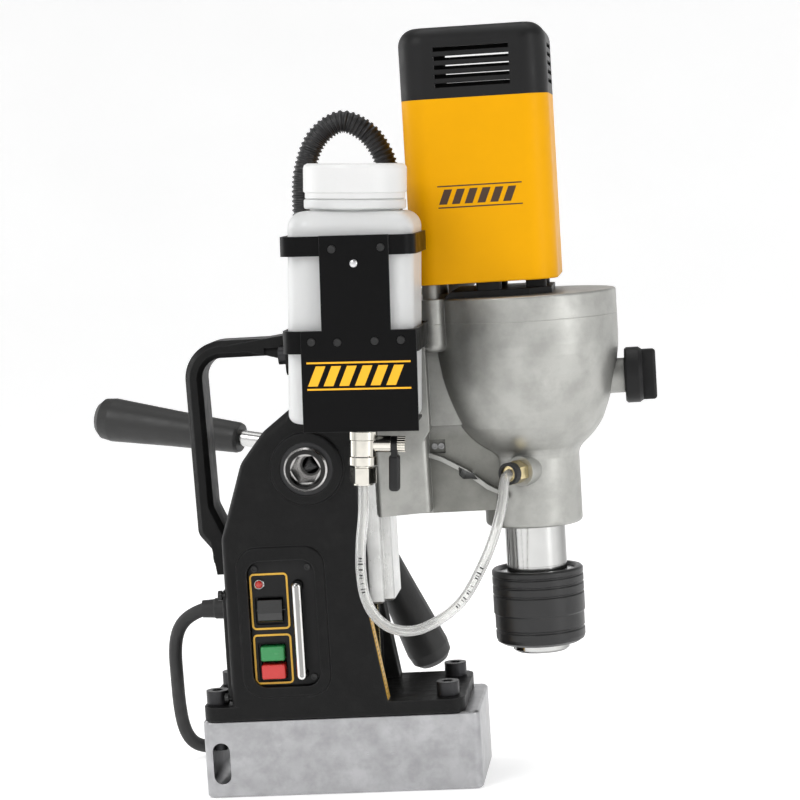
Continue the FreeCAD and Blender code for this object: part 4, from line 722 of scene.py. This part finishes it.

# ------------------------------------------------------------------ collar spring
# Wound over the chuck.
COIL_RADIUS, WIRE_RADIUS, COIL_TURNS, COIL_STEPS = 19.8, 0.79, 2.9, 220
COIL_INSET = 0.82  # from the CAD piece's ends to the wire's centre
spring_lo, spring_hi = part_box("collar_spring")
coil_x = (spring_lo[0] + spring_hi[0]) / 2 * 1000
coil_low = spring_lo[2] * 1000 + COIL_INSET
coil_high = spring_hi[2] * 1000 - COIL_INSET
path = []
for k in range(COIL_STEPS + 1):
    angle = 2 * math.pi * COIL_TURNS * k / COIL_STEPS
    path.append(Vector((coil_x + COIL_RADIUS * math.cos(angle), COIL_RADIUS * math.sin(angle),
                        coil_low + (coil_high - coil_low) * k / COIL_STEPS)))
spring = tube("collar_spring_wound", path, [WIRE_RADIUS] * len(path), 14, "spring_steel")
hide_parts("collar_spring")
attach(spring, "spindle")
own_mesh(spring)


# ------------------------------------------------------------------ switch panel
def on_panel(u, v, height):
    return (u, -39.6 - height, v)


def rounded_rectangle(left, right, bottom, top, radius):
    points = []
    for x, z, start in ((right - radius, bottom + radius, -90),
                        (right - radius, top - radius, 0),
                        (left + radius, top - radius, 90),
                        (left + radius, bottom + radius, 180)):
        for k in range(7):
            angle = rad(start + 90 * k / 6)
            points.append((x + radius * math.cos(angle), z + radius * math.sin(angle)))
    return points


def outline(left, right, bottom, top, radius=2.6, width=1.15):
    return (rounded_rectangle(left, right, bottom, top, radius),
            rounded_rectangle(left + width, right - width, bottom + width, top - width,
                              radius - width))


outlines = prism("panel_outlines",
                 [outline(-47.2, -25.0, 97.0, 129.6), outline(-47.2, -25.0, 65.4, 94.4)],
                 on_panel, "outline_yellow", thick=0.45, bevel=0.12)
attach(outlines, "stand")

# Lamp: a faceted red dome in a chrome bezel, as (radius, height).
BEZEL_PROFILE = [(3.1, 0.0), (3.1, 0.9), (2.7, 1.3), (2.35, 1.3)]
JEWEL_PROFILE = [(2.3, 1.0), (2.25, 1.6), (1.9, 2.3), (1.2, 2.85), (0.5, 3.05), (0.02, 3.1)]
lamp = dome("power_lamp", BEZEL_PROFILE + JEWEL_PROFILE, (-41.6, 123.4), on_panel, "chrome")
lamp.data.materials.append(MATERIALS["lamp_red"])
# The last face is the closed base, which stays chrome.
for polygon in list(lamp.data.polygons)[len(BEZEL_PROFILE) * DOME_SEGMENTS:-1]:
    polygon.material_index = 1
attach(lamp, "stand")

# ------------------------------------------------------------------ hatched labels
PLATE_TILT = rad(1.8)


def on_plate(u, v, height):
    """On the bottle bracket's front plate, which leans about y."""
    sin, cos = math.sin(PLATE_TILT), math.cos(PLATE_TILT)
    return (27.5 + u * cos + v * sin, -123.9 - height, 218 - u * sin + v * cos)


def on_housing(u, v, height):
    return (u, -43.0 - height, v)


def hatch(left, right, bottom, top, line, gap, lean):
    """Leaning bars between two lines; line is their thickness, gap their distance off."""
    bars, fill, margin = 6, 0.62, 0.4
    shapes = [[(left, z), (right, z), (right, z + line), (left, z + line)]
              for z in (bottom, top - line)]
    low, high = bottom + line + gap, top - line - gap
    step = (right - left - lean - 2 * margin) / bars
    width = step * fill
    for k in range(bars):
        x = left + margin + k * step
        shapes.append([(x, low), (x + width, low), (x + width + lean, high), (x + lean, high)])
    return shapes


label = prism("label_hatch",
              hatch(-22.9, 32.8, 21.0, 36.1, line=0.95, gap=1.25, lean=4.5),
              on_plate, "print_yellow", thick=0.12)
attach(label, "stand")
housing_hatch = prism("housing_hatch",
                      hatch(74.2, 121.4, 331.0, 343.6, line=0.7, gap=1.45, lean=3.4),
                      on_housing, "print_dark", thick=0.1)
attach(housing_hatch, "carriage")

# Bright rivet in the front plate, as (radius, height).
RIVET_PROFILE = [(2.25, 0.0), (2.2, 0.35), (1.9, 0.75), (1.3, 1.0), (0.6, 1.1), (0.02, 1.12)]
rivet = dome("bracket_rivet", RIVET_PROFILE, (3.9, 88.2), on_plate, "zinc_screw")
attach(rivet, "stand")

# ------------------------------------------------------------------ travel scale
# On the stand's sloping +X face, whose line runs down from top to foot in x, z.
CHEEK_TOP, CHEEK_FOOT = Vector((20.6, 102)), Vector((28.4, 53))
cheek_x, cheek_z = (CHEEK_FOOT - CHEEK_TOP).normalized()
SCALE_THICK = 0.35
TICK_COUNT, TICK_PITCH, TICK_WIDTH, TICK_START = 18, 2.5, 0.4, 3
TICK_Y, SHORT_TICK_Y, LONG_TICK_Y = -40.3, -36.2, -33.6


def on_cheek(u, y, height):
    """u runs down the slope, height stands off it."""
    return (CHEEK_TOP.x + cheek_x * u - cheek_z * height, y,
            CHEEK_TOP.y + cheek_z * u + cheek_x * height)


def on_scale(u, y, height):
    return on_cheek(u, y, height + SCALE_THICK + 0.01)


def tick(k):
    start = TICK_START + TICK_PITCH * k
    end = start + TICK_WIDTH
    reach = SHORT_TICK_Y if k % 4 else LONG_TICK_Y
    return [(start, TICK_Y), (end, TICK_Y), (end, reach), (start, reach)]


scale = prism("travel_scale", [[(0.5, -40.6), (49, -40.6), (49, -30.5), (0.5, -30.5)]],
              on_cheek, "outline_yellow", thick=SCALE_THICK, bevel=0.08)
ticks = prism("travel_scale_ticks", [tick(k) for k in range(TICK_COUNT)],
              on_scale, "print_black", thick=0.06)
for printed in (scale, ticks):
    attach(printed, "stand")

# ------------------------------------------------------------------ camera
scene = bpy.context.scene
AZIMUTH, ELEVATION, ROLL = rad(6.0), rad(5.0), rad(3.5)
TARGET, DISTANCE = Vector((0.0415, 0, 0.2213)), 1.5  # metres
back = Vector((math.sin(AZIMUTH) * math.cos(ELEVATION),
               -math.cos(AZIMUTH) * math.cos(ELEVATION), math.sin(ELEVATION)))
right = Vector((math.cos(AZIMUTH), math.sin(AZIMUTH), 0))
up = back.cross(right)
rolled_right = right * math.cos(ROLL) - up * math.sin(ROLL)
rolled_up = right * math.sin(ROLL) + up * math.cos(ROLL)
camera_data = bpy.data.cameras.new("camera")
camera_data.sensor_width = 36
camera_data.lens = 116.37
camera_data.clip_start, camera_data.clip_end = 0.05, 50
camera = bpy.data.objects.new("camera", camera_data)
scene.collection.objects.link(camera)
turn = Matrix((rolled_right, rolled_up, back)).transposed()
camera.matrix_world = Matrix.Translation(TARGET + back * DISTANCE) @ turn.to_4x4()
scene.camera = camera


# ------------------------------------------------------------------ world and lights
def studio_world():
    """White to the camera; a soft grey gradient, brighter above, to everything else."""
    world = bpy.data.worlds.new("studio")
    scene.world = world
    world.use_nodes = True
    nodes = Nodes(world.node_tree)
    direction = nodes.add("TexCoord").outputs["Generated"]
    height = nodes.add("SeparateXYZ", {0: direction}).outputs["Z"]
    grey = nodes.ramp(nodes.remap(height, span=(-1, 1)),
                      [(0.40, 0.50), (0.56, 0.62), (0.85, 1.0)])
    lighting = nodes.add("Background", {"Color": grey, "Strength": 0.36})
    backdrop = nodes.add("Background", {"Color": (1, 1, 1), "Strength": 1.0})
    seen = nodes.add("LightPath").outputs["Is Camera Ray"]
    mixed = nodes.add("MixShader", {0: seen, 1: lighting.outputs[0], 2: backdrop.outputs[0]})
    nodes.add("OutputWorld", {0: mixed.outputs[0]})


studio_world()

# Name, place, height aimed at, width and height in metres, and power in watts.
LIGHTS = [
    ("key", (-0.9, -1.5, 1.5), 0.25, 1.0, 1.0, 17),
    ("fill", (1.6, -1.0, 0.7), 0.25, 0.5, 1.6, 9.2),
    ("rim", (-1.4, 0.5, 0.7), 0.25, 0.4, 1.4, 6),
    ("top", (0.2, 0.2, 1.9), 0.2, 1.4, 1.4, 9.2),
]
for name, place, aim_z, width, height, power in LIGHTS:
    light = bpy.data.lights.new(name, "AREA")
    light.shape = "RECTANGLE"
    light.size, light.size_y = width, height
    light.energy = power
    lamp_object = bpy.data.objects.new(name, light)
    scene.collection.objects.link(lamp_object)
    lamp_object.location = place
    lamp_object.rotation_mode = "QUATERNION"
    aim = Vector((0.05, 0, aim_z)) - Vector(place)
    lamp_object.rotation_quaternion = aim.to_track_quat("-Z", "Y")

# ------------------------------------------------------------------ floor
# A round floor in metres, flat to FLAT_RADIUS and curving up beyond it.
FLOOR_Z, FLAT_RADIUS, FLOOR_RISE, FLOOR_SEGMENTS = -0.0004, 2.0, 0.32, 72
FLOOR_RINGS = [0.3, 0.7, 1.2, 1.7, 2.0, 2.2, 2.4, 2.6, 2.8, 3.0, 3.3, 3.6, 4.0, 4.5]
verts = [(0, 0, FLOOR_Z)]
for radius in FLOOR_RINGS:
    z = FLOOR_Z + max(0.0, radius - FLAT_RADIUS) ** 2 * FLOOR_RISE
    verts += [(radius * c, radius * s, z) for c, s in circle(FLOOR_SEGMENTS)]
faces = [(0, 1 + k, 1 + (k + 1) % FLOOR_SEGMENTS) for k in range(FLOOR_SEGMENTS)]
faces += quads(1, len(FLOOR_RINGS), FLOOR_SEGMENTS)
floor = make_object("floor", verts, faces, "floor_pale", angle=60)

scene.view_settings.view_transform = "Standard"
scene.view_settings.look = "None"
scene.view_settings.exposure = 0.0
